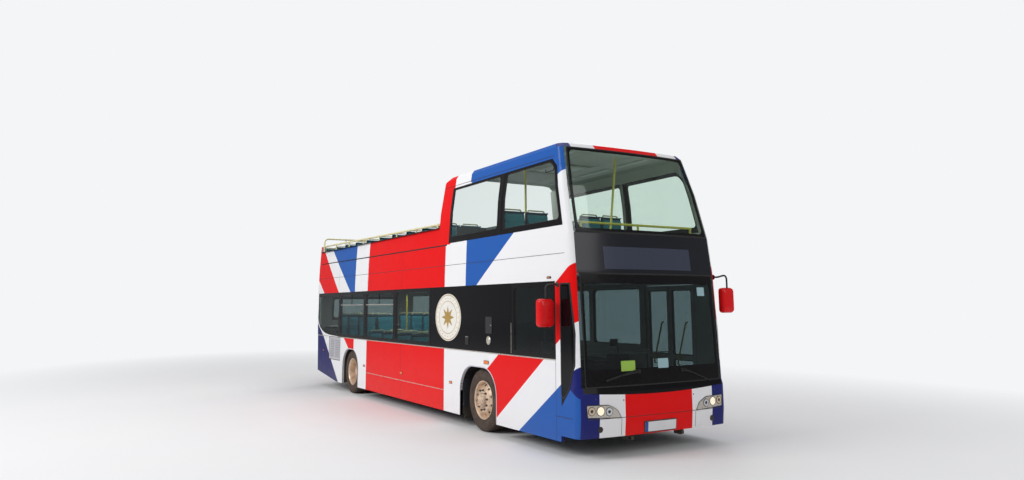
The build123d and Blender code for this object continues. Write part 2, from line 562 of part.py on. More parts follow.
with BuildPart() as track_rod:
    rod_x = FRONT_AXLE_X - STEER_ARM_LENGTH
    with Locations(Location((rod_x, 0, TRACK_ROD_Z), (90, 0, 0))):
        Cylinder(TRACK_ROD_RADIUS, 2 * KINGPIN_Y - 40)
    for side, sign in SIDES:
        with Locations((rod_x, sign * KINGPIN_Y, TRACK_ROD_Z)):
            Cylinder(30, 30)
    for side, sign, clearance in (("right", -1, 1.0), ("left", 1, RUNNING_GAP)):
        with Locations((rod_x, sign * KINGPIN_Y, TRACK_ROD_Z)):
            Cylinder(ARM_PIN_RADIUS + clearance, 60, mode=Mode.SUBTRACT)
finish(track_rod, "track_rod")

# Rear axle casing with the final drive, the hub spindles and its seats on the chassis rails
SPINDLE_RADIUS = 50
TWIN_INNER_Y = WHEEL_Y - TWIN_SPACING
with BuildPart() as rear_axle:
    with Locations(Location((REAR_AXLE_X, 0, TYRE_RADIUS), (90, 0, 0))):
        Cylinder(80, 2 * 560)
        Cylinder(SPINDLE_RADIUS, 2 * (WHEEL_Y + 40))
        Cylinder(190, 240)
        Cylinder(130, 420)
    for side, sign in SIDES:
        block((REAR_AXLE_X - 60, REAR_AXLE_X + 60), sorted((sign * RAIL_INSIDE_Y, sign * RAIL_OUTSIDE_Y)),
              (RAIL_TOP_Z, TYRE_RADIUS))
finish(rear_axle, "rear_axle")

with BuildPart() as engine_block:
    block((REAR_X + 250, BULKHEAD_X - 130), (-700, 700), (RAIL_TOP_Z, ENGINE_COVER_Z - 120))
finish(engine_block, "engine_block")


# Wheels: profiles of (radius, y) turned about the axle
def turned(profile, x, mode=Mode.ADD):
    with BuildSketch(Plane.YZ.offset(x)) as section:
        with BuildLine():
            Polyline(*[(y, TYRE_RADIUS + radius) for radius, y in profile], close=True)
        make_face()
    revolve(section.sketch, axis=Axis((x, 0, TYRE_RADIUS), (0, 1, 0)), mode=mode)


HALF_TYRE = TYRE_WIDTH / 2
def disc_holes(x, y, half_depth):
    """The ring of holes through a wheel disc that stands at this y."""
    count, circle, radius = DISC_HOLES
    with Locations(Location((x, y, TYRE_RADIUS), (90, 0, 0))):
        with PolarLocations(circle, count):
            Cylinder(radius, 2 * half_depth, mode=Mode.SUBTRACT)


TYRE_PROFILE = (
    (BEAD_RADIUS, -HALF_TYRE + 26), (BEAD_RADIUS + 70, -HALF_TYRE), (TYRE_RADIUS - 30, -HALF_TYRE + 10),
    (TYRE_RADIUS, -HALF_TYRE + 42), (TYRE_RADIUS, HALF_TYRE - 42), (TYRE_RADIUS - 30, HALF_TYRE - 10),
    (BEAD_RADIUS + 70, HALF_TYRE), (BEAD_RADIUS, HALF_TYRE - 26),
)
# Round holes through each wheel disc: count, circle they lie on, hole radius
DISC_HOLES = (10, 213, 24)
for side, sign in SIDES:
    with BuildPart() as front_tyre:
        turned([(r, sign * WHEEL_Y + y) for r, y in TYRE_PROFILE], FRONT_AXLE_X)
    finish(front_tyre, f"front_tyre_{side}")

    # The rim's barrel, its disc near the outer edge, and the hub with its cap over the stub axle
    with BuildPart() as front_rim:
        rim = [(BEAD_RADIUS, -120), (BEAD_RADIUS, 120), (BEAD_RADIUS - 12, 120), (245, 60), (180, 75),
               (150, 88), (120, 90), (110, 160), (0, 160), (0, 100), (STUB_RADIUS + RUNNING_GAP, 100),
               (STUB_RADIUS + RUNNING_GAP, -80), (95, -80), (110, 60), (180, 58), (262, 35), (262, -112)]
        turned([(r, sign * (WHEEL_Y + y)) for r, y in rim], FRONT_AXLE_X)
        disc_holes(FRONT_AXLE_X, sign * WHEEL_Y, 120)
    finish(front_rim, f"front_rim_{side}")

    with BuildPart() as rear_tyres:
        for centre in (WHEEL_Y, TWIN_INNER_Y):
            turned([(r, sign * centre + y) for r, y in TYRE_PROFILE], REAR_AXLE_X)
    finish(rear_tyres, f"rear_tyres_{side}")

    with BuildPart() as rear_rims:
        rim = [(BEAD_RADIUS, -120 - TWIN_SPACING), (BEAD_RADIUS, 120), (BEAD_RADIUS - 12, 120), (262, 100),
               (255, -110), (180, -130), (120, -130), (110, 60), (0, 60), (0, 45),
               (SPINDLE_RADIUS + RUNNING_GAP, 45), (SPINDLE_RADIUS + RUNNING_GAP, -330), (95, -330),
               (120, -165), (180, -165), (262, -175), (262, -112 - TWIN_SPACING)]
        turned([(r, sign * (WHEEL_Y + y)) for r, y in rim], REAR_AXLE_X)
        disc_holes(REAR_AXLE_X, sign * (WHEEL_Y - 145), 50)
    finish(rear_rims, f"rear_rims_{side}")

# Passenger door: two leaves that swing inwards on posts at the doorway's edges
DOOR_MIDDLE_X = (DOOR_REAR_X + DOOR_FRONT_X) / 2
for name, post_x, inward in (("rear", POSTS_X[0], 1), ("front", POSTS_X[1], -1)):
    tip_x = DOOR_MIDDLE_X - inward * LEAF_GAP / 2
    leaf_y = (HALF_WIDTH - LEAF_THICKNESS, HALF_WIDTH)
    with BuildPart() as leaf:
        block(sorted((post_x, tip_x)), leaf_y, LEAF_Z)
        with Locations((post_x, POST_Y, sum(LEAF_Z) / 2)):
            Cylinder(LEAF_THICKNESS / 2, LEAF_Z[1] - LEAF_Z[0])
            Cylinder(LEAF_PIN_RADIUS, LEAF_Z[1] - LEAF_Z[0] + 2 * LEAF_PIN_LENGTH)
        block(sorted((post_x + inward * 60, tip_x - inward * 50)), (leaf_y[0] - 1, leaf_y[1] + 1), (1150, 2120),
              Mode.SUBTRACT)
        block(sorted((post_x + inward * 60, tip_x - inward * 50)), (leaf_y[0] - 1, leaf_y[1] + 1), (400, 1080),
              Mode.SUBTRACT)
    finish(leaf, f"door_leaf_{name}")
    with BuildPart() as leaf_glass:
        for z0, z1 in ((400, 1080), (1150, 2120)):
            block(sorted((post_x + inward * 60, tip_x - inward * 50)), (leaf_y[0] + 14, leaf_y[1] - 18), (z0, z1))
    finish(leaf_glass, f"door_glass_{name}")

# Side grilles of the engine bay: a frame with slats
with BuildPart() as side_grilles:
    for side, sign in SIDES:
        y = sorted((sign * (HALF_WIDTH - 30), sign * HALF_WIDTH))
        block((from_rear(-1510), from_rear(-710)), y, (680, 1180))
        block((from_rear(-1485), from_rear(-735)), y, (705, 1155), Mode.SUBTRACT)
        for i in range(9):
            z = 705 + 450 * (i + 0.5) / 9
            side_outline([(from_rear(-1490), z - 18), (from_rear(-730), z - 18), (from_rear(-730), z + 12),
                          (from_rear(-1490), z + 12)], sign * (HALF_WIDTH - 22), sign * (HALF_WIDTH - 8))
finish(side_grilles, "side_grilles")

# Seats: a double seat's side profile, extruded to its width, on a pedestal
SEAT_WIDTH = 860
SEAT_PITCH = 750


def seat_pair(x, floor, y_centre, base=None):
    """A double seat at this floor height; base is the x range and foot of its pedestal where not the usual."""
    outline = [(x - 40, floor + 400), (x + 400, floor + 430), (x + 410, floor + 470), (x + 60, floor + 460),
               (x - 20, floor + 1010), (x - 85, floor + 1010)]
    side_outline(outline, y_centre - SEAT_WIDTH / 2, y_centre + SEAT_WIDTH / 2)
    rear_x, front_x, foot = base or (x + 100, x + 250, floor)
    block((rear_x, front_x), (y_centre - 60, y_centre + 60), (foot, floor + 440))


UPPER_ROWS = 13
UPPER_FIRST_X = REAR_X + 330
SEAT_Y = INSIDE_Y - SEAT_WIDTH / 2 - 12
UPPER_SEAT_Y = HALF_WIDTH - 100 - SEAT_WIDTH / 2
with BuildPart() as upper_seats:
    for i in range(UPPER_ROWS):
        x = UPPER_FIRST_X + SEAT_PITCH * i
        for side, sign in SIDES:
            over_stairs = side == "right" and WELL_REAR_X - 520 < x < STAIR_HEAD_X + 100
            if not over_stairs:
                seat_pair(x, UPPER_FLOOR_Z, sign * UPPER_SEAT_Y)
finish(upper_seats, "upper_seats")

LOWER_RAISED_X = BULKHEAD_X + 130
BOX_SEATS_X = (LOWER_RAISED_X + 700, LOWER_RAISED_X + 1400)
BOX_SEAT_FOOT = WHEEL_BOXES[1][4] + BOX_WALL
with BuildPart() as lower_seats:
    for side, sign in SIDES:
        seat_pair(LOWER_RAISED_X, RAISED_FLOOR_Z, sign * SEAT_Y)
        for x in BOX_SEATS_X:
            seat_pair(x, RAISED_FLOOR_Z, sign * SEAT_Y, (x + 50, x + 190, BOX_SEAT_FOOT))
        for i in range(6 if side == "left" else 4):
            seat_pair(STEP_X + 160 + SEAT_PITCH * i, FLOOR_Z, sign * SEAT_Y)
finish(lower_seats, "lower_seats")

# Driver's place: partition, dash with the steering column, steering wheel and seat
DRIVER_Y = -760
COLUMN_TILT = 30
WHEEL_HUB = (from_front(1960), DRIVER_Y, 1060)
COLUMN_LENGTH = 220
SHAFT_RADIUS = 12
HUB_HALF = 20


def on_column(distance):
    """Placement on the steering column's axis, this far below the steering wheel's middle."""
    x, y, z = WHEEL_HUB
    return Location((x + distance * sin(radians(COLUMN_TILT)), y, z - distance * cos(radians(COLUMN_TILT))),
                    (0, -COLUMN_TILT, 0))


with BuildPart() as driver_cab:
    block((CAB_REAR_X - 60, CAB_REAR_X - 20), (-INSIDE_Y, -420), (FLOOR_Z, UPPER_FLOOR_Z - UPPER_FLOOR_THICKNESS))
    dash = [(from_front(2020), 900), (from_front(2300), 1020), (from_front(2420), 1020), (from_front(2420), FLOOR_Z),
            (from_front(2200), FLOOR_Z)]
    side_outline(dash, -INSIDE_Y + 20, 250)
    column_top = HUB_HALF + 1
    with Locations(on_column((column_top + COLUMN_LENGTH) / 2)):
        Cylinder(28, COLUMN_LENGTH - column_top)
    with Locations(on_column((column_top + 70) / 2)):
        Cylinder(SHAFT_RADIUS + RUNNING_GAP, 70 - column_top + 2, mode=Mode.SUBTRACT)
finish(driver_cab, "driver_cab")

WHEEL_RING_RADIUS = 225
WHEEL_RING_TUBE = 14
with BuildPart() as ring:
    with BuildSketch(Plane.XZ):
        with Locations((WHEEL_RING_RADIUS, 0)):
            RegularPolygon(WHEEL_RING_TUBE, 8)
    revolve(axis=Axis.Z)

with BuildPart() as steering_wheel:
    add(ring.part.moved(on_column(0)))
    with Locations(on_column(0)):
        Cylinder(45, 2 * HUB_HALF)
        with PolarLocations(0, 3):
            with Locations((115, 0, 0)):
                Box(220, 22, 14)
    with Locations(on_column(32)):
        Cylinder(SHAFT_RADIUS, 64)
finish(steering_wheel, "steering_wheel")

with BuildPart() as driver_seat:
    x = from_front(1380)
    side_outline([(x - 40, 780), (x + 420, 800), (x + 430, 880), (x + 80, 870), (x - 20, 1560), (x - 110, 1560)],
                 DRIVER_Y - 250, DRIVER_Y + 250)
    block((x + 80, x + 320), (DRIVER_Y - 150, DRIVER_Y + 150), (FLOOR_Z, 790))
finish(driver_seat, "driver_seat")

# Handrails of the open deck: side rails that fall towards the front, a bent rail over the tail
RAIL_TUBE = 19
POST_TUBE = 14
SIDE_RAIL_Z = (3400, 3320)
REAR_RAIL_Z = 3620
REAR_RAIL_Y = 1125
REAR_RAIL_BEND = 90
RAIL_POSTS = 8
RAIL_TOP_Y = HALF_WIDTH - 60
RAIL_END_GAP = 5
RAIL_SEAT = 0.3
POST_END_X = 100
with BuildPart() as handrails:
    rail_x = (REAR_SPLIT_X + RAIL_SEAT, HALF_ROOF_X - RAIL_END_GAP)
    rail_slope = (SIDE_RAIL_Z[1] - SIDE_RAIL_Z[0]) / (rail_x[1] - rail_x[0])
    for side, sign in SIDES:
        ends = [(x, sign * RAIL_TOP_Y, z) for x, z in zip(rail_x, SIDE_RAIL_Z)]
        with BuildLine() as rail_line:
            Line(*ends)
        with BuildSketch(Plane(origin=ends[0], z_dir=Vector(*ends[1]) - Vector(*ends[0]))):
            Circle(RAIL_TUBE)
        sweep(path=rail_line.line)
        for i in range(RAIL_POSTS):
            x = rail_x[0] + POST_END_X + (rail_x[1] - rail_x[0] - 2 * POST_END_X) * i / (RAIL_POSTS - 1)
            post_top = SIDE_RAIL_Z[0] + rail_slope * (x - rail_x[0])
            with Locations((x, sign * RAIL_TOP_Y, (post_top + OPEN_TOP_Z) / 2)):
                Cylinder(POST_TUBE, post_top - OPEN_TOP_Z)
    rear_x = REAR_X + WALL / 2
    with BuildLine() as tail_line:
        FilletPolyline((rear_x, -REAR_RAIL_Y, REAR_PANEL_TOP_Z), (rear_x, -REAR_RAIL_Y, REAR_RAIL_Z),
                       (rear_x, REAR_RAIL_Y, REAR_RAIL_Z), (rear_x, REAR_RAIL_Y, REAR_PANEL_TOP_Z),
                       radius=REAR_RAIL_BEND)
    with BuildSketch(Plane.XY.offset(REAR_PANEL_TOP_Z)):
        with Locations((rear_x, -REAR_RAIL_Y)):
            Circle(RAIL_TUBE)
    sweep(path=tail_line.line)
    for y in (-REAR_RAIL_Y / 2, 0, REAR_RAIL_Y / 2):
        with Locations((rear_x, y, (REAR_RAIL_Z + REAR_PANEL_TOP_Z) / 2)):
            Cylinder(POST_TUBE, REAR_RAIL_Z - REAR_PANEL_TOP_Z)
finish(handrails, "handrails")

# Grab poles of the lower deck, floor to ceiling beside the aisle
POLE_Y = 320
with BuildPart() as lower_poles:
    ceiling_z = UPPER_FLOOR_Z - UPPER_FLOOR_THICKNESS
    for x in (STEP_X + 60, STEP_X + 1640, STEP_X + 3140):
        for side, sign in SIDES:
            with Locations((x, sign * POLE_Y, (FLOOR_Z + ceiling_z) / 2)):
                Cylinder(POLE_RADIUS, ceiling_z - FLOOR_Z)
finish(lower_poles, "lower_poles")

# Rail and ledge posts behind the upper screen
SCREEN_RAIL_X = from_front(2350)
SCREEN_RAIL_Z = 3000
with BuildPart() as screen_rail:
    with Locations(Location((SCREEN_RAIL_X, 0, SCREEN_RAIL_Z), (90, 0, 0))):
        Cylinder(POLE_RADIUS, 2 * 1000)
    for y in (-1000 + POLE_RADIUS, 0, 1000 - POLE_RADIUS):
        with Locations((SCREEN_RAIL_X, y, (SCREEN_RAIL_Z + UPPER_FLOOR_Z) / 2)):
            Cylinder(POLE_RADIUS, SCREEN_RAIL_Z - UPPER_FLOOR_Z)
finish(screen_rail, "screen_rail")

# Poles of the upper deck under the half roof, a leaning one ahead and one at the stair guard: foot and head
UPPER_POLES = (
    ((from_front(1600), 30), (from_front(1600), 230)),
    ((GUARD_POLE_X, STAIR_Y[1] + 30), (GUARD_POLE_X, STAIR_Y[1] + 30)),
)
ROOF_INSIDE_Z = ROOF_HEIGHT - WALL
with BuildPart() as upper_poles:
    for foot, head in UPPER_POLES:
        with BuildLine() as pole_line:
            Line((*foot, UPPER_FLOOR_Z), (*head, ROOF_INSIDE_Z))
        with BuildSketch(Plane((*foot, UPPER_FLOOR_Z))):
            Circle(POLE_RADIUS)
        sweep(path=pole_line.line)
finish(upper_poles, "upper_poles")

# Mudflaps hang from the floor behind the front wheels
FLAP_X = FRONT_AXLE_X + WHEEL_BOXES[0][1] - BOX_WALL
with BuildPart() as mudflaps:
    for side, sign in SIDES:
        block((FLAP_X - 8, FLAP_X), sorted((sign * 830, sign * 1190)), (120, FLOOR_Z - FLOOR_THICKNESS))
finish(mudflaps, "mudflaps")

# Lamps and wipers follow the body's skin: each is a layer of it, this thick, inside an outline
LAMP_DEPTH = 12
HEADLAMP = ((630, 515), (1180, 510), (1180, 672), (760, 672), (660, 620))
REAR_LAMP = ((1010, 1480), (1130, 1480), (1130, 2120), (1010, 2120))
WIPERS = (
    ((-330, 1040), (-350, 1062), (-830, 962), (-825, 938)),
    ((440, 1020), (460, 1045), (965, 868), (950, 846)),
)
WIPER_PIVOTS = ((-320, 1045), (430, 1030))
LAMP_SKIN = body_envelope(-LAMP_DEPTH)
WIPER_SKIN = body_envelope(-20)
with BuildPart() as headlamps:
    add(LAMP_SKIN)
    add(OUTER, mode=Mode.SUBTRACT)
    with BuildPart(mode=Mode.PRIVATE) as outlines:
        for side, sign in SIDES:
            end_outline([(sign * y, z) for y, z in HEADLAMP], FRONT_SPLIT_X, FRONT_X + 20)
    add(outlines.part, mode=Mode.INTERSECT)
finish(headlamps, "headlamps")

with BuildPart() as rear_lamps:
    add(LAMP_SKIN)
    add(OUTER, mode=Mode.SUBTRACT)
    with BuildPart(mode=Mode.PRIVATE) as outlines:
        for side, sign in SIDES:
            end_outline([(sign * y, z) for y, z in REAR_LAMP], REAR_X - 20, REAR_SPLIT_X)
    add(outlines.part, mode=Mode.INTERSECT)
finish(rear_lamps, "rear_lamps")

# Mirrors: arm points from the pillar to the housing, then the housing's x, |y| and z
MIRROR_ARM_RADIUS = 13
MIRROR_BEND = 60
MIRROR_CORNER = 55
MIRRORS = (
    (-1, ((2200, HALF_WIDTH, 2172), (2200, 1340, 2172), (2190, 1446, 2165), (2190, 1446, 1960)),
     (2125, 2235), (1330, 1562), (1622, 1985)),
    (1, ((2514, 1233, 2290), (2560, 1279, 2290), (2572, 1448, 2330), (2572, 1448, 2110)),
     (2505, 2615), (1335, 1562), (1780, 2140)),
)
with BuildPart() as mirrors:
    for sign, arm, x, y, z in MIRRORS:
        points = [(from_front(px), sign * py, pz) for px, py, pz in arm]
        with BuildLine() as arm_line:
            FilletPolyline(*points, radius=MIRROR_BEND)
        start = Vector(*points[0])
        with BuildSketch(Plane(origin=start, z_dir=Vector(*points[1]) - start)):
            Circle(MIRROR_ARM_RADIUS)
        sweep(path=arm_line.line)
        with BuildSketch(Plane.YZ.offset(from_front(x[0]))):
            with Locations((sign * sum(y) / 2, sum(z) / 2)):
                RectangleRounded(y[1] - y[0], z[1] - z[0], MIRROR_CORNER)
        extrude(amount=x[1] - x[0], taper=12)
finish(mirrors, "mirrors")

# Wipers: arms just off the lower screen, each on a pivot that stands on the screen
with BuildPart() as wipers:
    add(WIPER_SKIN)
    add(LAMP_SKIN, mode=Mode.SUBTRACT)
    with BuildPart(mode=Mode.PRIVATE) as outlines:
        for outline in WIPERS:
            end_outline(outline, SCREEN_REAR_X + 200, FRONT_X + 20)
    add(outlines.part, mode=Mode.INTERSECT)
    with BuildPart(mode=Mode.PRIVATE) as pivots:
        for y, z in WIPER_PIVOTS:
            with Locations(Location((FRONT_X - 60, y, z), (0, 90, 0))):
                Cylinder(28, 200)
        add(WIPER_SKIN, mode=Mode.INTERSECT)
        add(OUTER, mode=Mode.SUBTRACT)
    add(pivots.part)
finish(wipers, "wipers")
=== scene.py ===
import math

import bpy
import numpy as np
from mathutils import Matrix, Vector
from mathutils.bvhtree import BVHTree


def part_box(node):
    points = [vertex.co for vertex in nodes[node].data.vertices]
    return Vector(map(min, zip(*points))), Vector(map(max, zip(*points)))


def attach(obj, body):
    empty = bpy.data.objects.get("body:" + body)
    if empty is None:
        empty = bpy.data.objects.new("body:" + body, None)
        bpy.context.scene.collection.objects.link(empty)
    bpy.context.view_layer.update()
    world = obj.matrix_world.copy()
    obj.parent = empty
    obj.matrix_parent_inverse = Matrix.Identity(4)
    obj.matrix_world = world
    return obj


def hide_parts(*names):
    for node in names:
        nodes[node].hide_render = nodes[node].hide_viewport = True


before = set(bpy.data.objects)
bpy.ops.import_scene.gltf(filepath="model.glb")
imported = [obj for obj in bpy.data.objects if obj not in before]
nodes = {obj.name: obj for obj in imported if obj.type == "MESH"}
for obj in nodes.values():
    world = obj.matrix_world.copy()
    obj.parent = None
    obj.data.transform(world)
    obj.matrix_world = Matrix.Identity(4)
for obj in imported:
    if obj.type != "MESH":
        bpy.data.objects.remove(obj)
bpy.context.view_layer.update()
scene = bpy.context.scene

# Driving places, in metres, taken from the frame
front_tyre_low, front_tyre_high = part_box("front_tyre_left")
rear_tyre_low, rear_tyre_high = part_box("rear_tyres_left")
FRONT_AXLE_X = (front_tyre_low.x + front_tyre_high.x) / 2
REAR_AXLE_X = (rear_tyre_low.x + rear_tyre_high.x) / 2
AXLE_Z = front_tyre_high.z / 2
WHEEL_Y = (front_tyre_low.y + front_tyre_high.y) / 2
SIGNS = (-1, 1)
SIDES = tuple(zip(("right", "left"), SIGNS))
BAND_Z = (1.20, 2.22)
AHEAD, LEFT, UP = (1, 0, 0), (0, 1, 0), (0, 0, 1)


def from_front(distance):
    """X of a point given by its distance ahead of the front axle."""
    return FRONT_AXLE_X + distance


def linked(name, data):
    """A new object with this data, in the scene."""
    made = bpy.data.objects.new(name, data)
    scene.collection.objects.link(made)
    return made


# Camera, at the photograph's viewing angle
CAMERA_PLACE = (13.565, -6.877, 1.906)
CAMERA_YAW = 149.44
CAMERA_PITCH = 8.59
CAMERA_ROLL = -0.31
CAMERA_LENS = 26.6
CAMERA_SHIFT = -0.048
CAMERA_REACH = 400


def make_camera():
    data = bpy.data.cameras.new("camera")
    data.lens = CAMERA_LENS
    data.sensor_width = 36
    data.shift_y = CAMERA_SHIFT
    data.clip_end = CAMERA_REACH
    camera = linked("camera", data)
    yaw, pitch = math.radians(CAMERA_YAW), math.radians(CAMERA_PITCH)
    ahead = Vector((math.cos(yaw) * math.cos(pitch), math.sin(yaw) * math.cos(pitch), math.sin(pitch)))
    turn = ahead.to_track_quat("-Z", "Y").to_matrix().to_4x4()
    camera.matrix_world = Matrix.Translation(CAMERA_PLACE) @ turn @ Matrix.Rotation(math.radians(CAMERA_ROLL), 4, "Z")
    scene.camera = camera


make_camera()


# Shader helpers
def colour(red, green, blue):
    """A colour written as 0 to 255 in sRGB, as linear values with full alpha."""
    parts = [value / 255 for value in (red, green, blue)]
    return tuple(p / 12.92 if p <= 0.04045 else ((p + 0.055) / 1.055) ** 2.4 for p in parts) + (1.0,)


class Shade:
    """Short calls for building one material's nodes."""

    def __init__(self, name):
        self.material = bpy.data.materials.new(name)
        self.material.use_nodes = True
        self.tree = self.material.node_tree
        self.tree.nodes.clear()
        self.output = self.node("OutputMaterial")
        place = self.node("TexCoord")
        self.point, self.normal = place.outputs["Object"], place.outputs["Normal"]
        self.x, self.y, self.z = self.split(self.point)
        self.nx, _, self.nz = self.split(self.normal)

    def node(self, kind, **settings):
        made = self.tree.nodes.new("ShaderNode" + kind)
        for key, value in settings.items():
            setattr(made, key, value)
        return made

    def put(self, socket, value):
        if isinstance(value, bpy.types.NodeSocket):
            self.tree.links.new(value, socket)
        else:
            socket.default_value = value

    def fed(self, kind, values, **settings):
        """A node with its first inputs set to these values or joined to these sockets."""
        made = self.node(kind, **settings)
        for socket, value in zip(made.inputs, values):
            self.put(socket, value)
        return made

    def split(self, vector):
        return self.fed("SeparateXYZ", (vector,)).outputs

    def math(self, operation, *values):
        return self.fed("Math", values, operation=operation).outputs[0]

    def above(self, value, limit):
        return self.math("GREATER_THAN", value, limit)

    def below(self, value, limit):
        return self.math("LESS_THAN", value, limit)

    def every(self, first, *others):
        """The product of these, which for conditions is 1 where all of them hold."""
        for other in others:
            first = self.math("MULTIPLY", first, other)
        return first

    def between(self, value, low, high):
        return self.every(self.above(value, low), self.below(value, high))

    def past_line(self, ends):
        """X of a line that rises with height, through two points (distance ahead of the front axle, height)."""
        (u0, v0), (u1, v1) = ends
        slope = (u1 - u0) / (v1 - v0)
        return self.math("MULTIPLY_ADD", self.z, slope, from_front(u0 - slope * v0))

    def vector(self, operation, *values):
        made = self.fed("VectorMath", values, operation=operation)
        return made.outputs["Value" if operation in ("DOT_PRODUCT", "LENGTH") else 0]

    def mix(self, factor, first, second):
        made = self.node("Mix", data_type="RGBA")
        for index, value in ((0, factor), (6, first), (7, second)):
            self.put(made.inputs[index], value)
        return made.outputs[2]

    def texture(self, kind, place=None, settings=None, **inputs):
        """The outputs of a texture over the object, with its inputs by their names."""
        made = self.node("Tex" + kind, **(settings or {}))
        self.put(made.inputs["Vector"], self.point if place is None else place)
        for key, value in inputs.items():
            made.inputs[key].default_value = value
        return made.outputs

    def noise(self, scale, detail=3.0, stretch=None):
        place = self.vector("MULTIPLY", self.point, stretch) if stretch else None
        return self.texture("Noise", place, Scale=scale, Detail=detail)[0]

    def ramp(self, value, low, high, start=0.0, end=1.0):
        """The value carried from the range low..high to start..end, and held at the ends."""
        return self.fed("MapRange", (value, low, high, start, end), clamp=True).outputs[0]

    def bump(self, height, strength, distance):
        made = self.node("Bump")
        for key, value in (("Strength", strength), ("Distance", distance), ("Height", height)):
            self.put(made.inputs[key], value)
        return made.outputs[0]

    def gloss(self, base, roughness, **others):
        """A Principled shader with this colour and roughness, and other inputs by their names."""
        made = self.node("BsdfPrincipled")
        for key, value in {"Base_Color": base, "Roughness": roughness, **others}.items():
            self.put(made.inputs[key.replace("_", " ")], value)
        return made.outputs[0]

    def blend(self, factor, first, second):
        """Two shaders mixed."""
        return self.fed("MixShader", (factor, first, second)).outputs[0]

    def done(self, shader):
        self.put(self.output.inputs[0], shader)
        return self.material


DUST = colour(168, 150, 126)


def dusty(shade, base, amount, height=0.9):
    """The base colour with road dust that thins out with height and settles in patches."""
    low = shade.ramp(shade.z, 0.05, height, 1.0, 0.0)
    patches = shade.ramp(shade.noise(2.6, 6.0), 0.35, 0.75, 0.35, 1.0)
    return shade.mix(shade.every(low, patches, amount), base, DUST)


def plain(name, base, roughness, grain=180.0, relief=0.0004, spread=0.08, dust=0.0, **others):
    """A hard finish: the base colour in two close tones, uneven gloss and a fine relief."""
    shade = Shade(name)
    light = tuple(min(1.0, part * (1 + spread) + 0.004) for part in base[:3]) + (1.0,)
    dark = tuple(part * (1 - spread) for part in base[:3]) + (1.0,)
    tone = shade.mix(shade.noise(7.0, 5.0), dark, light)
    if dust:
        tone = dusty(shade, tone, dust)
    rough = shade.ramp(shade.noise(22.0, 4.0), 0.3, 0.7, max(roughness - 0.06, 0.02), min(roughness + 0.08, 1.0))
    bump = shade.bump(shade.noise(grain, 2.0), 0.5, relief)
    return shade.done(shade.gloss(tone, rough, Normal=bump, **others))


# Livery: the flag's bands on each side, as borders from the tail to the nose
RED = colour(230, 10, 14)
WHITE = colour(238, 238, 240)
BLUE = colour(40, 93, 174)
NAVY = colour(28, 30, 98)
NOSE_BLUE = colour(32, 38, 110)
TRIM = colour(196, 200, 190)
EDGE = colour(30, 30, 33)
SILL_BLACK = colour(14, 14, 17)
# Each border: distance ahead of the front axle and height of two points on it, least distance, next colour
SIDE_BORDERS = (
    ((-8.142, 1.211), (-6.973, 0.250), None, WHITE),
    ((-8.786, 1.589), (-8.142, 1.211), None, WHITE),
    ((-8.673, 2.566), (-6.589, 1.212), None, RED),
    ((-8.142, 3.125), (-7.012, 2.230), None, WHITE),
    ((-7.453, 3.125), (-6.188, 2.235), None, BLUE),
    ((-5.86, 0.0), (-5.86, 1.0), None, WHITE),
    ((-5.04, 0.0), (-5.04, 1.0), None, RED),
    ((-1.243, 0.0), (-1.243, 1.0), None, WHITE),
    ((-0.457, 0.0), (-0.457, 1.0), None, BLUE),
    ((-0.062, 2.234), (0.989, 2.919), -0.457, WHITE),
    ((0.211, 0.922), (2.627, 2.513), -0.457, RED),
    ((0.540, 0.264), (1.853, 1.190), -0.457, WHITE),
    ((1.217, 0.199), (2.218, 0.872), -0.457, BLUE),
)
# The nose's dark blue runs up the pillar ahead of the quarter glass: two points on its lower border
NOSE_BORDER = ((2.46, 0.84), (2.67, 0.71))
# The red pillar behind the half roof, and the cantrail's blue that turns white towards the nose
PILLAR_X = (-1.70, -1.07)
PILLAR_FOOT_Z = 2.935
CANTRAIL_Z = 3.93
CANTRAIL_BLUE_X = -0.5
# The flag across the nose, the tail and the roof: |y| where red ends and where white ends
CROSS_Y = (0.575, 0.966)
NOSE_Z = 0.9
FACING_NOSE = 0.75
FACING_TAIL = -0.6
FACING_UP = 0.6
# The dark sill under the screen: height of its lower edge in the middle, its rise with y squared, its limits
SILL_Z = (0.757, 0.95)
SILL_RISE = 0.035
SILL_Y = 1.19
# The body's outside faces away from this box inside it, its inner faces face towards it
SADDLE = ((-5.3, -0.95, 0.3), (4.85, 0.95, 3.85))
FACING_MARGIN = 0.12


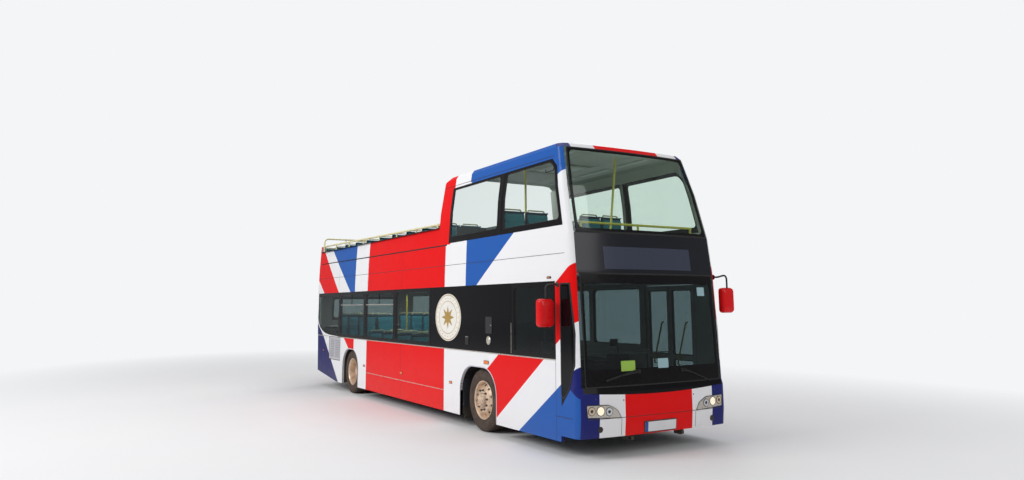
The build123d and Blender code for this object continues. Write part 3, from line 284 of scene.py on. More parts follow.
def livery():
    shade = Shade("livery_paint")
    x, z = shade.x, shade.z
    flag = NAVY
    for first, second, least, following in SIDE_BORDERS:
        border_x = shade.past_line((first, second))
        if least is not None:
            border_x = shade.math("MAXIMUM", border_x, from_front(least))
        flag = shade.mix(shade.above(x, border_x), flag, following)
    on_pillar = shade.above(x, shade.math("MAXIMUM", border_x, shade.past_line(NOSE_BORDER)))
    flag = shade.mix(on_pillar, flag, NOSE_BLUE)
    cantrail = shade.mix(shade.above(x, from_front(CANTRAIL_BLUE_X)), WHITE, BLUE)
    flag = shade.mix(shade.above(z, CANTRAIL_Z), flag, cantrail)
    pillar = shade.every(shade.above(z, PILLAR_FOOT_Z), shade.between(x, *map(from_front, PILLAR_X)))
    flag = shade.mix(pillar, flag, RED)

    across = shade.math("ABSOLUTE", shade.y)
    cross = shade.mix(shade.below(across, CROSS_Y[1]), NOSE_BLUE, WHITE)
    cross = shade.mix(shade.below(across, CROSS_Y[0]), cross, RED)
    low_end = shade.every(shade.above(shade.math("ABSOLUTE", shade.nx), FACING_NOSE), shade.below(z, NOSE_Z))
    on_cross = shade.math("MAXIMUM", low_end, shade.below(shade.nx, FACING_TAIL))
    on_cross = shade.math("MAXIMUM", on_cross, shade.above(shade.nz, FACING_UP))
    flag = shade.mix(on_cross, flag, cross)
    dip = shade.math("MULTIPLY_ADD", shade.every(shade.y, shade.y), SILL_RISE, SILL_Z[0])
    sill = shade.every(shade.above(shade.nx, FACING_NOSE), shade.between(z, dip, SILL_Z[1]),
                       shade.below(across, SILL_Y))
    flag = shade.mix(sill, flag, SILL_BLACK)

    weathered = shade.mix(shade.ramp(shade.noise(1.1, 5.0, (1, 1, 0.4)), 0.45, 0.85, 0.0, 0.015), flag, DUST)
    outside_colour = dusty(shade, weathered, 0.08, 0.50)
    nearest = shade.vector("MINIMUM", shade.vector("MAXIMUM", shade.point, SADDLE[0]), SADDLE[1])
    facing_out = shade.vector("DOT_PRODUCT", shade.vector("SUBTRACT", shade.point, nearest), shade.normal)
    outside = shade.above(facing_out, FACING_MARGIN)
    inside = shade.below(facing_out, -FACING_MARGIN)
    base = shade.mix(outside, shade.mix(inside, EDGE, TRIM), outside_colour)
    rough = shade.mix(outside, (0.6, 0.6, 0.6, 1.0), shade.ramp(shade.noise(9.0, 5.0), 0.3, 0.7, 0.28, 0.38))
    peel = shade.bump(shade.noise(5.0, 2.0), 0.10, 0.0010)
    return shade.done(shade.gloss(base, rough, Normal=peel, Specular_IOR_Level=0.04,
                                  Coat_Weight=shade.every(outside, 0.18), Coat_Roughness=0.04))


SHEEN = 0.03


def glass(name, tint, body=None, cover=None):
    """See-through glass with its tint, and solid body colour where cover(shade) is 1."""
    shade = Shade(name)
    clear = shade.fed("BsdfTransparent", (tint(shade) if callable(tint) else tint,))
    mirror = shade.node("BsdfGlossy")
    mirror.inputs["Roughness"].default_value = SHEEN
    shade.put(mirror.inputs["Normal"], shade.bump(shade.noise(3.0, 2.0), 0.15, 0.004))
    facing = shade.fed("LayerWeight", (0.5,)).outputs["Facing"]
    fresnel = shade.math("MULTIPLY_ADD", shade.math("POWER", facing, 5.0), 0.55, 0.035)
    pane = shade.blend(fresnel, clear.outputs[0], mirror.outputs[0])
    if cover is None:
        return shade.done(pane)
    return shade.done(shade.blend(cover(shade), pane, shade.gloss(body, SHEEN + 0.05, Specular_IOR_Level=0.15)))


def stair_panel(shade):
    """The solid panels of the band: beside the stairs on the driver's side, and the pillars at the front."""
    along = shade.between(shade.x, from_front(-1.80), from_front(1.0))
    panel = shade.every(along, shade.below(shade.y, 0.0))
    return shade.math("MAXIMUM", panel, shade.above(shade.x, from_front(2.20)))


def screen_tint(shade):
    """Clear green glass above, darker for the driver's screen below."""
    return shade.mix(shade.above(shade.z, 2.5), colour(182, 194, 196), colour(238, 246, 241))


def display_glass():
    """The black panel between the screens, with the paler field of its blank display."""
    shade = Shade("display_glass")
    field = shade.every(shade.below(shade.math("ABSOLUTE", shade.y), 0.76), shade.between(shade.z, 2.372, 2.67))
    flat = shade.vector("MULTIPLY", shade.point, (0.0, 1.0, 1.0))
    dots = shade.texture("Voronoi", flat, Scale=90.0, Randomness=0.0)["Distance"]
    lamps = shade.mix(shade.below(dots, 0.3), colour(55, 60, 76), colour(68, 74, 92))
    base = shade.mix(field, shade.mix(shade.noise(3.0), colour(16, 17, 24), colour(24, 26, 36)), lamps)
    return shade.done(shade.gloss(base, 0.16, Specular_IOR_Level=0.3, Coat_Weight=0.1, Coat_Roughness=0.08))


def moquette(name, ground, figure, spot):
    """Woven seat cloth: a small diamond figure on its ground, with a ribbed weave."""
    shade = Shade(name)
    near = shade.texture("Voronoi", settings={"distance": "MANHATTAN"}, Scale=22.0, Randomness=0.0)["Distance"]
    tone = shade.mix(shade.below(near, 0.34), ground, figure)
    tone = shade.mix(shade.below(near, 0.12), tone, spot)
    worn = shade.mix(shade.ramp(shade.noise(5.0, 5.0), 0.4, 0.8, 0.0, 0.35), tone, figure)
    rib = shade.texture("Wave", settings={"bands_direction": "DIAGONAL"}, Scale=140.0, Distortion=1.5)[1]
    cloth = shade.math("ADD", rib, shade.noise(600.0, 2.0))
    return shade.done(shade.gloss(worn, 0.9, Normal=shade.bump(cloth, 0.5, 0.0012), Sheen_Weight=0.35))


def vinyl():
    """Speckled safety flooring."""
    shade = Shade("floor_vinyl")
    specks = shade.texture("Voronoi", Scale=120.0)["Distance"]
    ground = shade.mix(shade.noise(4.0, 5.0), colour(66, 72, 80), colour(84, 90, 98))
    base = shade.mix(shade.every(shade.below(specks, 0.22), 0.6), ground, colour(150, 156, 164))
    return shade.done(shade.gloss(base, 0.55, Normal=shade.bump(specks, 0.4, 0.0006)))


def tyre_rubber():
    """Tyre rubber, browned with road dust in patches."""
    shade = Shade("tyre_rubber")
    grime = shade.ramp(shade.noise(9.0, 6.0), 0.3, 0.75, 0.25, 0.62)
    base = shade.mix(grime, colour(30, 27, 26), colour(108, 88, 74))
    return shade.done(shade.gloss(base, 0.85, Normal=shade.bump(shade.noise(420.0, 2.0), 0.4, 0.0008)))


def wheel_paint():
    """Silver-beige wheel enamel under brake dust."""
    shade = Shade("wheel_paint")
    grime = shade.ramp(shade.noise(11.0, 6.0), 0.35, 0.75, 0.0, 0.55)
    base = shade.mix(grime, colour(238, 213, 188), colour(142, 110, 84))
    rough = shade.ramp(shade.noise(30.0, 4.0), 0.3, 0.7, 0.32, 0.6)
    return shade.done(shade.gloss(base, rough, Metallic=0.5, Normal=shade.bump(shade.noise(260.0), 0.3, 0.0006)))


def lens(name, base, ribs=60.0, glow=0.0):
    """A ribbed lamp lens, lit by its own glow where one is given."""
    shade = Shade(name)
    wave = shade.texture("Wave", settings={"bands_direction": "Y"}, Scale=ribs)[1]
    tone = shade.mix(shade.ramp(wave, 0.2, 0.9, 0.0, 0.35), base, tuple(min(1, c * 1.6) for c in base))
    bump = shade.bump(wave, 0.5, 0.002)
    return shade.done(shade.gloss(tone, 0.08, Normal=bump, Coat_Weight=0.8, Coat_Roughness=0.03,
                                  Emission_Color=tone, Emission_Strength=glow))


finishes = {
    "livery": livery(),
    "band_glass": glass("band_glass", (0.58, 0.64, 0.64, 1), colour(10, 10, 13), stair_panel),
    "upper_glass": glass("upper_glass", (0.93, 0.97, 0.95, 1)),
    "screen_glass": glass("screen_glass", screen_tint),
    "display": display_glass(),
    "seat_cloth": moquette("seat_moquette", colour(24, 132, 150), colour(48, 172, 180), colour(22, 66, 124)),
    "seat_dark": moquette("driver_cloth", colour(42, 46, 60), colour(60, 66, 84), colour(90, 96, 120)),
    "vinyl": vinyl(),
    "tyre": tyre_rubber(),
    "wheel": wheel_paint(),
    "lens_red": lens("lens_red", colour(176, 14, 18)),
    "lens_amber": lens("lens_amber", colour(230, 120, 20)),
    "lens_clear": lens("lens_clear", colour(214, 218, 222)),
    "lens_dark": lens("lens_dark", colour(40, 38, 36), 18.0),
    "lens_warm": lens("lens_warm", colour(255, 238, 204), glow=0.45),
    "lens_tan": lens("lens_tan", colour(210, 184, 152)),
}
# Hard finishes: colour, roughness, grain, relief, and what else is set; the material's name where it is another
PLAIN_FINISHES = {
    "black_glass": ((13, 10, 13), 0.14, 40, 0.0001, {"Specular_IOR_Level": 0.18}),
    "black_plastic": ((28, 28, 30), 0.45, 180, 0.0004, {"dust": 0.3}),
    "rubber": ((22, 22, 23), 0.7, 120, 0.0006, {"dust": 0.2}, "black_rubber"),
    "chassis": ((30, 30, 30), 0.65, 60, 0.001, {"spread": 0.2, "dust": 0.3}, "chassis_black"),
    "iron": ((84, 82, 78), 0.55, 50, 0.0012, {"spread": 0.25, "dust": 0.5, "Metallic": 0.6}, "engine_iron"),
    "cab_grey": ((92, 98, 104), 0.6, 400, 0.0005, {}),
    "dark_trim": ((44, 47, 52), 0.65, 400, 0.0006, {}),
    "pale_trim": ((206, 208, 200), 0.5, 300, 0.0003, {}),
    "cream": ((226, 218, 170), 0.35, 90, 0.0002, {}, "handrail_cream"),
    "yellow": ((222, 206, 74), 0.3, 90, 0.0002, {"Coat_Weight": 0.4}, "pole_yellow"),
    "silver": ((196, 190, 180), 0.3, 90, 0.0002, {"Metallic": 0.5}, "lamp_silver"),
    "bright_metal": ((205, 207, 210), 0.2, 90, 0.0002, {"Metallic": 1.0}),
    "mirror_red": ((222, 20, 24), 0.3, 60, 0.0001, {"spread": 0.02, "Specular_IOR_Level": 0.1, "Coat_Weight": 0.3}),
    "mirror_face": ((190, 198, 206), 0.04, 20, 0.0001, {"Metallic": 1.0}),
    "gold": ((196, 160, 84), 0.35, 90, 0.0002, {"Metallic": 0.4}, "badge_gold"),
    "badge_white": ((236, 234, 226), 0.4, 90, 0.0002, {}),
    "plate_white": ((222, 224, 226), 0.35, 90, 0.0002, {}),
    "plate_yellow": ((228, 198, 60), 0.35, 90, 0.0002, {}),
    "plate_blue": ((32, 70, 160), 0.35, 90, 0.0002, {}),
    "grille_paint": ((206, 206, 212), 0.4, 90, 0.0002, {"dust": 0.3}),
    "seat_shell": ((34, 92, 112), 0.5, 300, 0.0004, {}),
    "seat_piping": ((24, 60, 92), 0.6, 300, 0.0003, {}),
    "sticker_green": ((150, 190, 70), 0.4, 90, 0.0002, {}),
    "sticker_pale": ((152, 184, 190), 0.4, 90, 0.0002, {}),
    "tank_grey": ((72, 74, 76), 0.5, 60, 0.0006, {"spread": 0.15, "dust": 0.4, "Metallic": 0.3}),
    "light_panel": ((232, 236, 232), 0.35, 200, 0.0002, {}),
    "screen_black": ((12, 14, 18), 0.12, 40, 0.0001, {}),
    "wiper_black": ((22, 22, 24), 0.45, 90, 0.0002, {"Specular_IOR_Level": 0.3}),
}
for key, (tone, roughness, grain, relief, others, *names) in PLAIN_FINISHES.items():
    finishes[key] = plain(names[0] if names else key, colour(*tone), roughness, grain, relief, **others)

# The carried-over CAD nodes and their finishes
NODE_FINISHES = {
    "livery": ("side_lower_left", "side_lower_right", "side_upper_left", "side_upper_right", "front_shell",
               "front_bumper", "roof_front", "rear_shell", "engine_door", "door_leaf_front", "door_leaf_rear"),
    "band_glass": ("glass_lower", "door_glass_front", "door_glass_rear"),
    "upper_glass": ("glass_upper",),
    "screen_glass": ("windscreens",),
    "display": ("destination_panel",),
    "chassis": ("chassis_frame", "cross_members", "front_axle_beam", "knuckle_left", "knuckle_right",
                "track_rod", "rear_axle"),
    "iron": ("engine_block",),
    "cab_grey": ("driver_cab", "staircase", "stair_guard"),
    "dark_trim": ("steering_wheel", "wheel_boxes"),
    "vinyl": ("lower_floor", "raised_floor", "upper_floor"),
    "cream": ("handrails",),
    "yellow": ("lower_poles", "upper_poles", "screen_rail"),
    "rubber": ("mudflaps",),
}
NODE_SHARP = math.radians(32)
for finish_name, members in NODE_FINISHES.items():
    for member in members:
        data = nodes[member].data
        data.materials.clear()
        data.materials.append(finishes[finish_name])
        data.set_sharp_from_angle(angle=NODE_SHARP)


# Where the body's skin is: rays meet the panels and glass of the frame
SKIN_NODES = NODE_FINISHES["livery"] + ("glass_lower", "glass_upper", "windscreens", "destination_panel",
                                        "side_grilles")


def skin_tree():
    points, faces = [], []
    for name in SKIN_NODES:
        data = nodes[name].data
        base = len(points)
        points += [v.co.copy() for v in data.vertices]
        faces += [[base + i for i in p.vertices] for p in data.polygons]
    return BVHTree.FromPolygons(points, faces)


skin = skin_tree()


def meet(start, direction):
    """(point, normal) where a ray from outside meets the skin."""
    place, normal, _, _ = skin.ray_cast(Vector(start), Vector(direction))
    if place is None:
        raise ValueError(f"no skin from {start} along {direction}")
    return place, normal


def on_side(side):
    """A function of (x, z) that gives the skin's point and normal on that side."""
    return lambda x, z: meet((x, side * 3, z), (0, -side, 0))


def ahead_on_side(side):
    """The same, with x given from the front axle."""
    return lambda u, z: on_side(side)(from_front(u), z)


def on_front(y, z):
    return meet((8, y, z), (-1, 0, 0))


def on_rear(y, z):
    return meet((-8, y, z), (1, 0, 0))


def mirrored(place, side):
    """The same places with y mirrored to that side."""
    return lambda y, z: place(side * y, z)


# Mesh helpers
class Form:
    """Collects the vertices and faces of one piece, each face with its finish."""

    def __init__(self):
        self.points, self.faces, self.marks, self.used = [], [], [], []

    def add(self, points, faces, finish):
        if finish not in self.used:
            self.used.append(finish)
        base = len(self.points)
        self.points += [tuple(p) for p in points]
        self.faces += [[base + i for i in face] for face in faces]
        self.marks += [self.used.index(finish)] * len(faces)

    def fan(self, ring, middle, finish):
        """Triangles from a ring of points to its middle."""
        count = len(ring)
        self.add(ring + [middle], [(i, (i + 1) % count, count) for i in range(count)], finish)

    def piece(self, name, body, slot, replaces=(), angle=35):
        data = bpy.data.meshes.new(name)
        data.from_pydata(self.points, [], self.faces)
        data.validate()
        for finish in self.used:
            data.materials.append(finishes[finish])
        data.polygons.foreach_set("material_index", self.marks)
        data.update()
        data.shade_smooth()
        data.set_sharp_from_angle(angle=math.radians(angle))
        made = linked(name, data)
        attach(made, body)
        if replaces:
            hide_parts(*replaces)
        return made


def rings(form, loops, finish, closed=True, cap_start=False, cap_end=False, round_trip=False):
    """Quads between loops of equally many points. closed joins each loop's ends, round_trip the last to the first."""
    count = len(loops[0])
    points = [p for loop in loops for p in loop]
    faces = []
    span = count if closed else count - 1
    pairs = len(loops) if round_trip else len(loops) - 1
    for row in range(pairs):
        a, b = row * count, (row + 1) % len(loops) * count
        for i in range(span):
            j = (i + 1) % count
            faces.append((a + i, a + j, b + j, b + i))
    if cap_start:
        faces.append(tuple(reversed(range(count))))
    if cap_end:
        faces.append(tuple(range((len(loops) - 1) * count, len(loops) * count)))
    form.add(points, faces, finish)


def solid(form, loops, finish):
    """Loops joined into a solid with both ends closed."""
    rings(form, loops, finish, cap_start=True, cap_end=True)


CORNERS = [(sx, sy, sz) for sx in SIGNS for sy in SIGNS for sz in SIGNS]


def block(form, low, high, finish, soft=0.01, turn=None):
    """A box with chamfered edges and corners, between two corners; turn places it by a matrix."""
    middle = [(a + b) / 2 for a, b in zip(low, high)]
    half = [(b - a) / 2 for a, b in zip(low, high)]
    cut = min(soft, 0.98 * min(half))
    index, points = {}, []
    for signs in CORNERS:
        for flat in range(3):
            place = [signs[k] * (half[k] - (0 if k == flat else cut)) for k in range(3)]
            index[signs, flat] = len(points)
            points.append([middle[k] + place[k] for k in range(3)])

    def corner(flat, along, u, su, v, sv):
        signs = [0, 0, 0]
        signs[flat], signs[u], signs[v] = along, su, sv
        return tuple(signs)

    faces = []
    for flat in range(3):
        u, v = (flat + 1) % 3, (flat + 2) % 3
        for sign in SIGNS:
            quad = [index[corner(flat, sign, u, su, v, sv), flat] for su, sv in ((-1, -1), (1, -1), (1, 1), (-1, 1))]
            faces.append(quad if sign > 0 else quad[::-1])
        for su in SIGNS:
            for sv in SIGNS:
                low_end, high_end = (corner(flat, along, u, su, v, sv) for along in SIGNS)
                quad = [index[low_end, u], index[high_end, u], index[high_end, v], index[low_end, v]]
                faces.append(quad if su * sv > 0 else quad[::-1])
    for signs in CORNERS:
        tri = [index[signs, flat] for flat in range(3)]
        faces.append(tri if math.prod(signs) > 0 else tri[::-1])
    if turn is not None:
        points = [turn @ Vector(p) for p in points]
    form.add(points, faces, finish)


def circle(across, other, sides):
    """Unit vectors round a circle in the plane of two axes."""
    return [across * math.cos(t) + other * math.sin(t) for t in (math.tau * k / sides for k in range(sides))]


def neighbours(path, i, closed):
    """The points before and after one point of a path."""
    before = path[i - 1] if i or closed else path[i]
    after = path[(i + 1) % len(path)] if i + 1 < len(path) or closed else path[i]
    return before, after


def tube(form, path, radius, finish, sides=10, closed=False):
    """A round bar along a path of points; radius may be one value or one for each point."""
    path = [Vector(p) for p in path]
    radii = radius if isinstance(radius, (list, tuple)) else [radius] * len(path)
    loops, across = [], None
    for i, point in enumerate(path):
        before, after = neighbours(path, i, closed)
        ahead = (after - before).normalized()
        if across is None:
            across = ahead.orthogonal().normalized()
        across = (across - ahead * across.dot(ahead)).normalized()
        loops.append([point + spoke * radii[i] for spoke in circle(across, ahead.cross(across), sides)])
    rings(form, loops, finish, cap_start=not closed, cap_end=not closed, round_trip=closed)


def rounded_corner(before, corner, after, radius, steps):
    """Points of the curve that rounds a corner."""
    back, ahead = before - corner, after - corner
    reach = min(radius, back.length * 0.49, ahead.length * 0.49)
    start, end = corner + back.normalized() * reach, corner + ahead.normalized() * reach
    shares = [k / steps for k in range(steps + 1)]
    return [start * (1 - t) ** 2 + corner * 2 * t * (1 - t) + end * t ** 2 for t in shares]


def bend(corners, radius, steps=6):
    """A path through corners with each inner corner rounded."""
    corners = [Vector(c) for c in corners]
    path = [corners[0]]
    for before, corner, after in zip(corners, corners[1:], corners[2:]):
        path += rounded_corner(before, corner, after, radius, steps)
    return path + [corners[-1]]


def turned(form, profile, centre, finish, axis=LEFT, sides=48, closed=False, caps=True):
    """A profile of (radius, distance along the axis) turned about the axis through the centre."""
    axis = Vector(axis).normalized()
    across = axis.orthogonal().normalized()
    spokes = circle(across, axis.cross(across), sides)
    loops = [[Vector(centre) + axis * along + spoke * max(radius, 0.0002) for spoke in spokes]
             for radius, along in profile]
    capped = caps and not closed
    rings(form, loops, finish, cap_start=capped, cap_end=capped, round_trip=closed)


def divisions(length, spacing):
    return max(2, round(length / spacing))


def outline(corners, radii, steps=5, spacing=0.12, like=None):
    """Points round a polygon with rounded corners, and more along its sides.

    Where another polygon is given in like, the sides are divided as its sides are, so that both can be joined.
    """
    count = len(corners)
    radii = radii if isinstance(radii, (list, tuple)) else [radii] * count
    like = like or corners
    arcs = []
    for i, corner in enumerate(corners):
        here = Vector(corner)
        back, ahead = Vector(corners[i - 1]) - here, Vector(corners[(i + 1) % count]) - here
        angle = back.angle(ahead)
        reach = min(radii[i] / math.tan(angle / 2), back.length * 0.49, ahead.length * 0.49)
        start, end = here + back.normalized() * reach, here + ahead.normalized() * reach
        weight = math.sin(angle / 2)
        arc = []
        for k in range(steps + 1):
            t = k / steps
            a, b, c = (1 - t) ** 2, 2 * weight * t * (1 - t), t ** 2
            arc.append((start * a + here * b + end * c) / (a + b + c))
        arcs.append(arc)
    points = []
    for i, arc in enumerate(arcs):
        pieces = divisions(math.dist(like[i], like[(i + 1) % count]), spacing)
        following = arcs[(i + 1) % count][0]
        points += arc + [arc[-1].lerp(following, k / pieces) for k in range(1, pieces)]
    return points


def rectangle(u, v):
    return ((u[0], v[0]), (u[1], v[0]), (u[1], v[1]), (u[0], v[1]))


def between(first, second, share):
    """The point at this share of the way between two plain tuples."""
    return tuple(a + (b - a) * share for a, b in zip(first, second))


def raised(found, out):
    point, normal = found
    return point + normal * out


def boss(form, found, profile, finish, sides, out=0.0):
    """A turned form that stands on the skin at this (point, normal)."""
    turned(form, profile, raised(found, out), finish, found[1], sides)


def border(form, outer, inner, place, radius=0.07, outer_radius=0.004, out=0.0015, sunk=0.006):
    """A flat black frame on the glass between two alike polygons, the inner one with round corners."""
    edge = [place(*p) for p in outline(outer, outer_radius)]
    hole = [place(*p) for p in outline(inner, radius, like=outer)]
    levels = ((edge, -sunk), (edge, out), (hole, out), (hole, -sunk))
    rings(form, [[raised(f, level) for f in found] for found, level in levels], "black_glass")


def plate(form, corners, radius, place, finish, out, base=-0.003, spacing=0.12, soft=0.0):
    """A raised plate with a polygon's outline on the skin, fanned from its middle."""
    edge = outline(corners, radius, spacing=spacing)
    middle = sum((Vector(c) for c in corners), Vector((0, 0))) / len(corners)
    found = [place(*p) for p in edge]
    top = [raised(place(*middle.lerp(p, 1 - soft)) if soft else f, out) for p, f in zip(edge, found)]
    loops = [[raised(f, level) for f in found] for level in (base, out - (0.003 if soft else 0))]
    rings(form, loops + [top] if soft else loops, finish)
    form.fan(top, raised(place(*middle), out), finish)


ROUNDED = ((-0.5, -1), (-0.5, 0.55), (-0.3, 1), (0.3, 1), (0.5, 0.55), (0.5, -1))
SQUARE = ((-0.5, -1), (-0.5, 1), (0.5, 1), (0.5, -1))


def strip(form, found, finish, width=0.012, height=0.004, closed=False, sunk=0.003, section=ROUNDED):
    """A moulding along a run of (point, normal) on the skin."""
    points = [point for point, normal in found]
    loops = []
    for i, (point, normal) in enumerate(found):
        before, after = neighbours(points, i, closed)
        across = normal.cross(after - before).normalized()
        loops.append([point + across * (u * width) + normal * (h * height if h > 0 else -sunk) for u, h in section])
    rings(form, loops, finish, cap_start=not closed, cap_end=not closed, round_trip=closed)


def line(form, place, corners, finish, width, height, spacing=0.1, out=0.0):
    """A moulding along straight runs between corners on the skin."""
    found = []
    for first, second in zip(corners, corners[1:]):
        pieces = max(1, round(math.dist(first, second) / spacing))
        found += [place(*between(first, second, k / pieces)) for k in range(pieces)]
    found.append(place(*corners[-1]))
    strip(form, [(raised(f, out), f[1]) for f in found] if out else found, finish, width, height)


def gasket(form, place, corners, radius, finish, width, height, spacing=0.1):
    """A moulding round a polygon with rounded corners on the skin."""
    found = [place(*p) for p in outline(corners, radius, spacing=spacing)]
    strip(form, found, finish, width, height, closed=True)


def lathe_bolts(form, centre, axis, ring_radius, count, radius, height, finish, turn=0.0):
    """Hexagon nuts round a ring."""
    axis = Vector(axis).normalized()
    across = axis.orthogonal().normalized()
    other = axis.cross(across)
    profile = ((radius, 0), (radius, height * 0.75), (radius * 0.75, height), (radius * 0.45, height),
               (radius * 0.4, height * 1.5))
    for k in range(count):
        t = turn + math.tau * k / count
        middle = Vector(centre) + (across * math.cos(t) + other * math.sin(t)) * ring_radius
        turned(form, profile, middle, finish, axis, 6)


# Wheels
TYRE_OUT = (front_tyre_high.z - front_tyre_low.z) / 2
TYRE_WIDTH = front_tyre_high.y - front_tyre_low.y
RIM_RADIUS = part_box("front_rim_left")[1].z - AXLE_Z
TREAD_PITCHES = 54
TREAD_DEPTH = 0.011
TREAD_SKEW = 0.35
GROOVES = (-0.066, -0.022, 0.022, 0.066)
GROOVE_HALF = 0.0045
# Parts of one pitch of the tread: where each begins, and whether it lies in the cross cut
LUG_PARTS = ((0.0, 0), (0.72, 0), (0.76, 1), (0.96, 1))


def tyre_profile():
    """(radius, y, lug) from one bead to the other; lug marks the shoulder points that the cross cuts lower."""
    bead, out, half = RIM_RADIUS, TYRE_OUT, TYRE_WIDTH / 2
    side = [(bead - 0.004, -0.104, 0), (bead + 0.010, -0.118, 0), (bead + 0.022, -0.122, 0), (bead + 0.028, -0.120, 0),
            (bead + 0.060, -half + 0.0015, 0), (bead + 0.085, -half, 0), (bead + 0.110, -half + 0.002, 0),
            (bead + 0.114, -half + 0.0005, 0), (out - 0.050, -half + 0.006, 0), (out - 0.034, -half + 0.011, 0),
            (out - 0.026, -half + 0.013, 1), (out - 0.008, -half + 0.022, 1), (out - 0.001, -half + 0.034, 1)]
    crown = []
    for centre in GROOVES:
        crown += [(out, centre - GROOVE_HALF - 0.001, 0.5), (out - TREAD_DEPTH, centre - GROOVE_HALF + 0.001, 0),
                  (out - TREAD_DEPTH, centre + GROOVE_HALF - 0.001, 0), (out, centre + GROOVE_HALF + 0.001, 0.5)]
    return side + crown + [(r, -y, lug) for r, y, lug in reversed(side)]


def add_tyre(form, centre):
    loops = []
    for radius, y, lug in tyre_profile():
        loop = []
        for k in range(TREAD_PITCHES):
            for part, cut in LUG_PARTS:
                t = math.tau * (k + part) / TREAD_PITCHES + (y * TREAD_SKEW if lug else 0.0)
                r = radius - TREAD_DEPTH * lug * cut * (1.0 if lug == 1 else 0.8)
                loop.append(centre + Vector((r * math.cos(t), y, r * math.sin(t))))
        loops.append(loop)
    rings(form, loops, "tyre")


HOLE_COUNT = 10
HOLE_STEPS = 8
DISC_THICKNESS = 0.012


def holed_ring(form, centre, side, radii, depths, hole_radius):
    """A dished disc between two radii with round holes: faces between each hole and its share of the disc."""
    inner, outer = radii
    middle = (inner + outer) / 2

    def at(r, t, deep=0.0):
        y = depths[0] + (depths[1] - depths[0]) * (r - inner) / (outer - inner)
        return centre + Vector((r * math.cos(t), side * (y - deep), r * math.sin(t)))

    for k in range(HOLE_COUNT):
        first, last = math.tau * k / HOLE_COUNT, math.tau * (k + 1) / HOLE_COUNT
        half = (first + last) / 2
        share = [(inner, first), (inner, last), (outer, last), (outer, first), (inner, first)]
        edge = [between(start, end, i / HOLE_STEPS) for start, end in zip(share, share[1:]) for i in range(HOLE_STEPS)]
        rim = []
        for i in range(4 * HOLE_STEPS):
            turn = math.radians(225) + math.tau * i / (4 * HOLE_STEPS)
            rim.append((middle + hole_radius * math.sin(turn), half + hole_radius * math.cos(turn) / middle))
        lip = [between((middle, half), point, 1.12) for point in rim]
        rings(form, [[at(*p) for p in edge], [at(*p) for p in lip], [at(*p, 0.004) for p in rim],
                     [at(*p, DISC_THICKNESS) for p in rim]], "wheel")


# Rims: each lathe profile as (radius, distance outwards), with its finish, sides and ends;
# between them the dished disc with its hand holes, and the rings of nuts
CLOSED = {"closed": True}
OPEN = {"caps": False}
FRONT_RIM = (
    (((0.286, 0.112), (0.291, 0.118), (0.286, 0.121), (0.274, 0.116), (0.264, 0.100), (0.258, 0.070),
      (0.252, 0.058)), "wheel", 72, OPEN),
    (((0.188, 0.112), (0.184, 0.120), (0.176, 0.125), (0.118, 0.125), (0.112, 0.127), (0.108, 0.140),
      (0.104, 0.160), (0.096, 0.170), (0.070, 0.173), (0.066, 0.178), (0.040, 0.181), (0.0, 0.181)), "wheel", 48, {}),
    (((0.252, 0.058), (0.250, 0.030), (0.262, -0.060), (0.272, -0.105), (0.286, -0.116), (0.286, -0.112),
      (0.276, -0.100), (0.268, 0.0), (0.270, 0.100)), "wheel", 48, OPEN),
    (((0.245, 0.020), (0.150, 0.060), (0.060, 0.060), (0.060, -0.060), (0.215, -0.060)), "rubber", 32, CLOSED),
)
FRONT_DISC = ((0.188, 0.252), (0.112, 0.050), 0.023)
FRONT_NUTS = ((0.125, 0.150, 10, 0.0160, 0.024), (0.171, 0.083, 8, 0.0065, 0.008))
REAR_RIM = (
    (((0.286, 0.112), (0.291, 0.118), (0.286, 0.121), (0.276, 0.116), (0.266, 0.100), (0.260, 0.040),
      (0.256, -0.050), (0.246, -0.088)), "wheel", 72, OPEN),
    (((0.160, -0.128), (0.152, -0.130), (0.124, -0.130), (0.118, -0.126), (0.114, -0.040), (0.108, 0.020),
      (0.100, 0.030), (0.066, 0.034), (0.060, 0.042), (0.0, 0.044)), "wheel", 48, {}),
    (((0.286, -0.116), (0.270, -0.100), (0.258, -0.110), (0.160, -0.150), (0.120, -0.160), (0.120, -0.330),
      (0.258, -0.205), (0.272, -0.120)), "chassis", 40, OPEN),
)
REAR_DISC = ((0.160, 0.246), (-0.128, -0.088), 0.027)
REAR_NUTS = ((-0.130, 0.138, 10, 0.0150, 0.026), (0.030, 0.083, 8, 0.0065, 0.008))
INNER_RIM = (
    (((0.286, -0.118), (0.262, -0.100), (0.258, 0.100), (0.286, 0.118), (0.288, 0.110), (0.272, 0.090),
      (0.272, -0.090), (0.288, -0.110)), "wheel", 48, CLOSED),
)


def add_rim(form, centre, side, profiles, disc=None, nut_rings=()):
    for profile, finish, sides, ends in profiles:
        turned(form, [(r, side * y) for r, y in profile], centre, finish, sides=sides, **ends)
    if disc:
        holed_ring(form, centre, side, *disc)
    for out, *ring in nut_rings:
        lathe_bolts(form, centre + Vector((0, side * out, 0)), (0, side, 0), *ring, "iron")


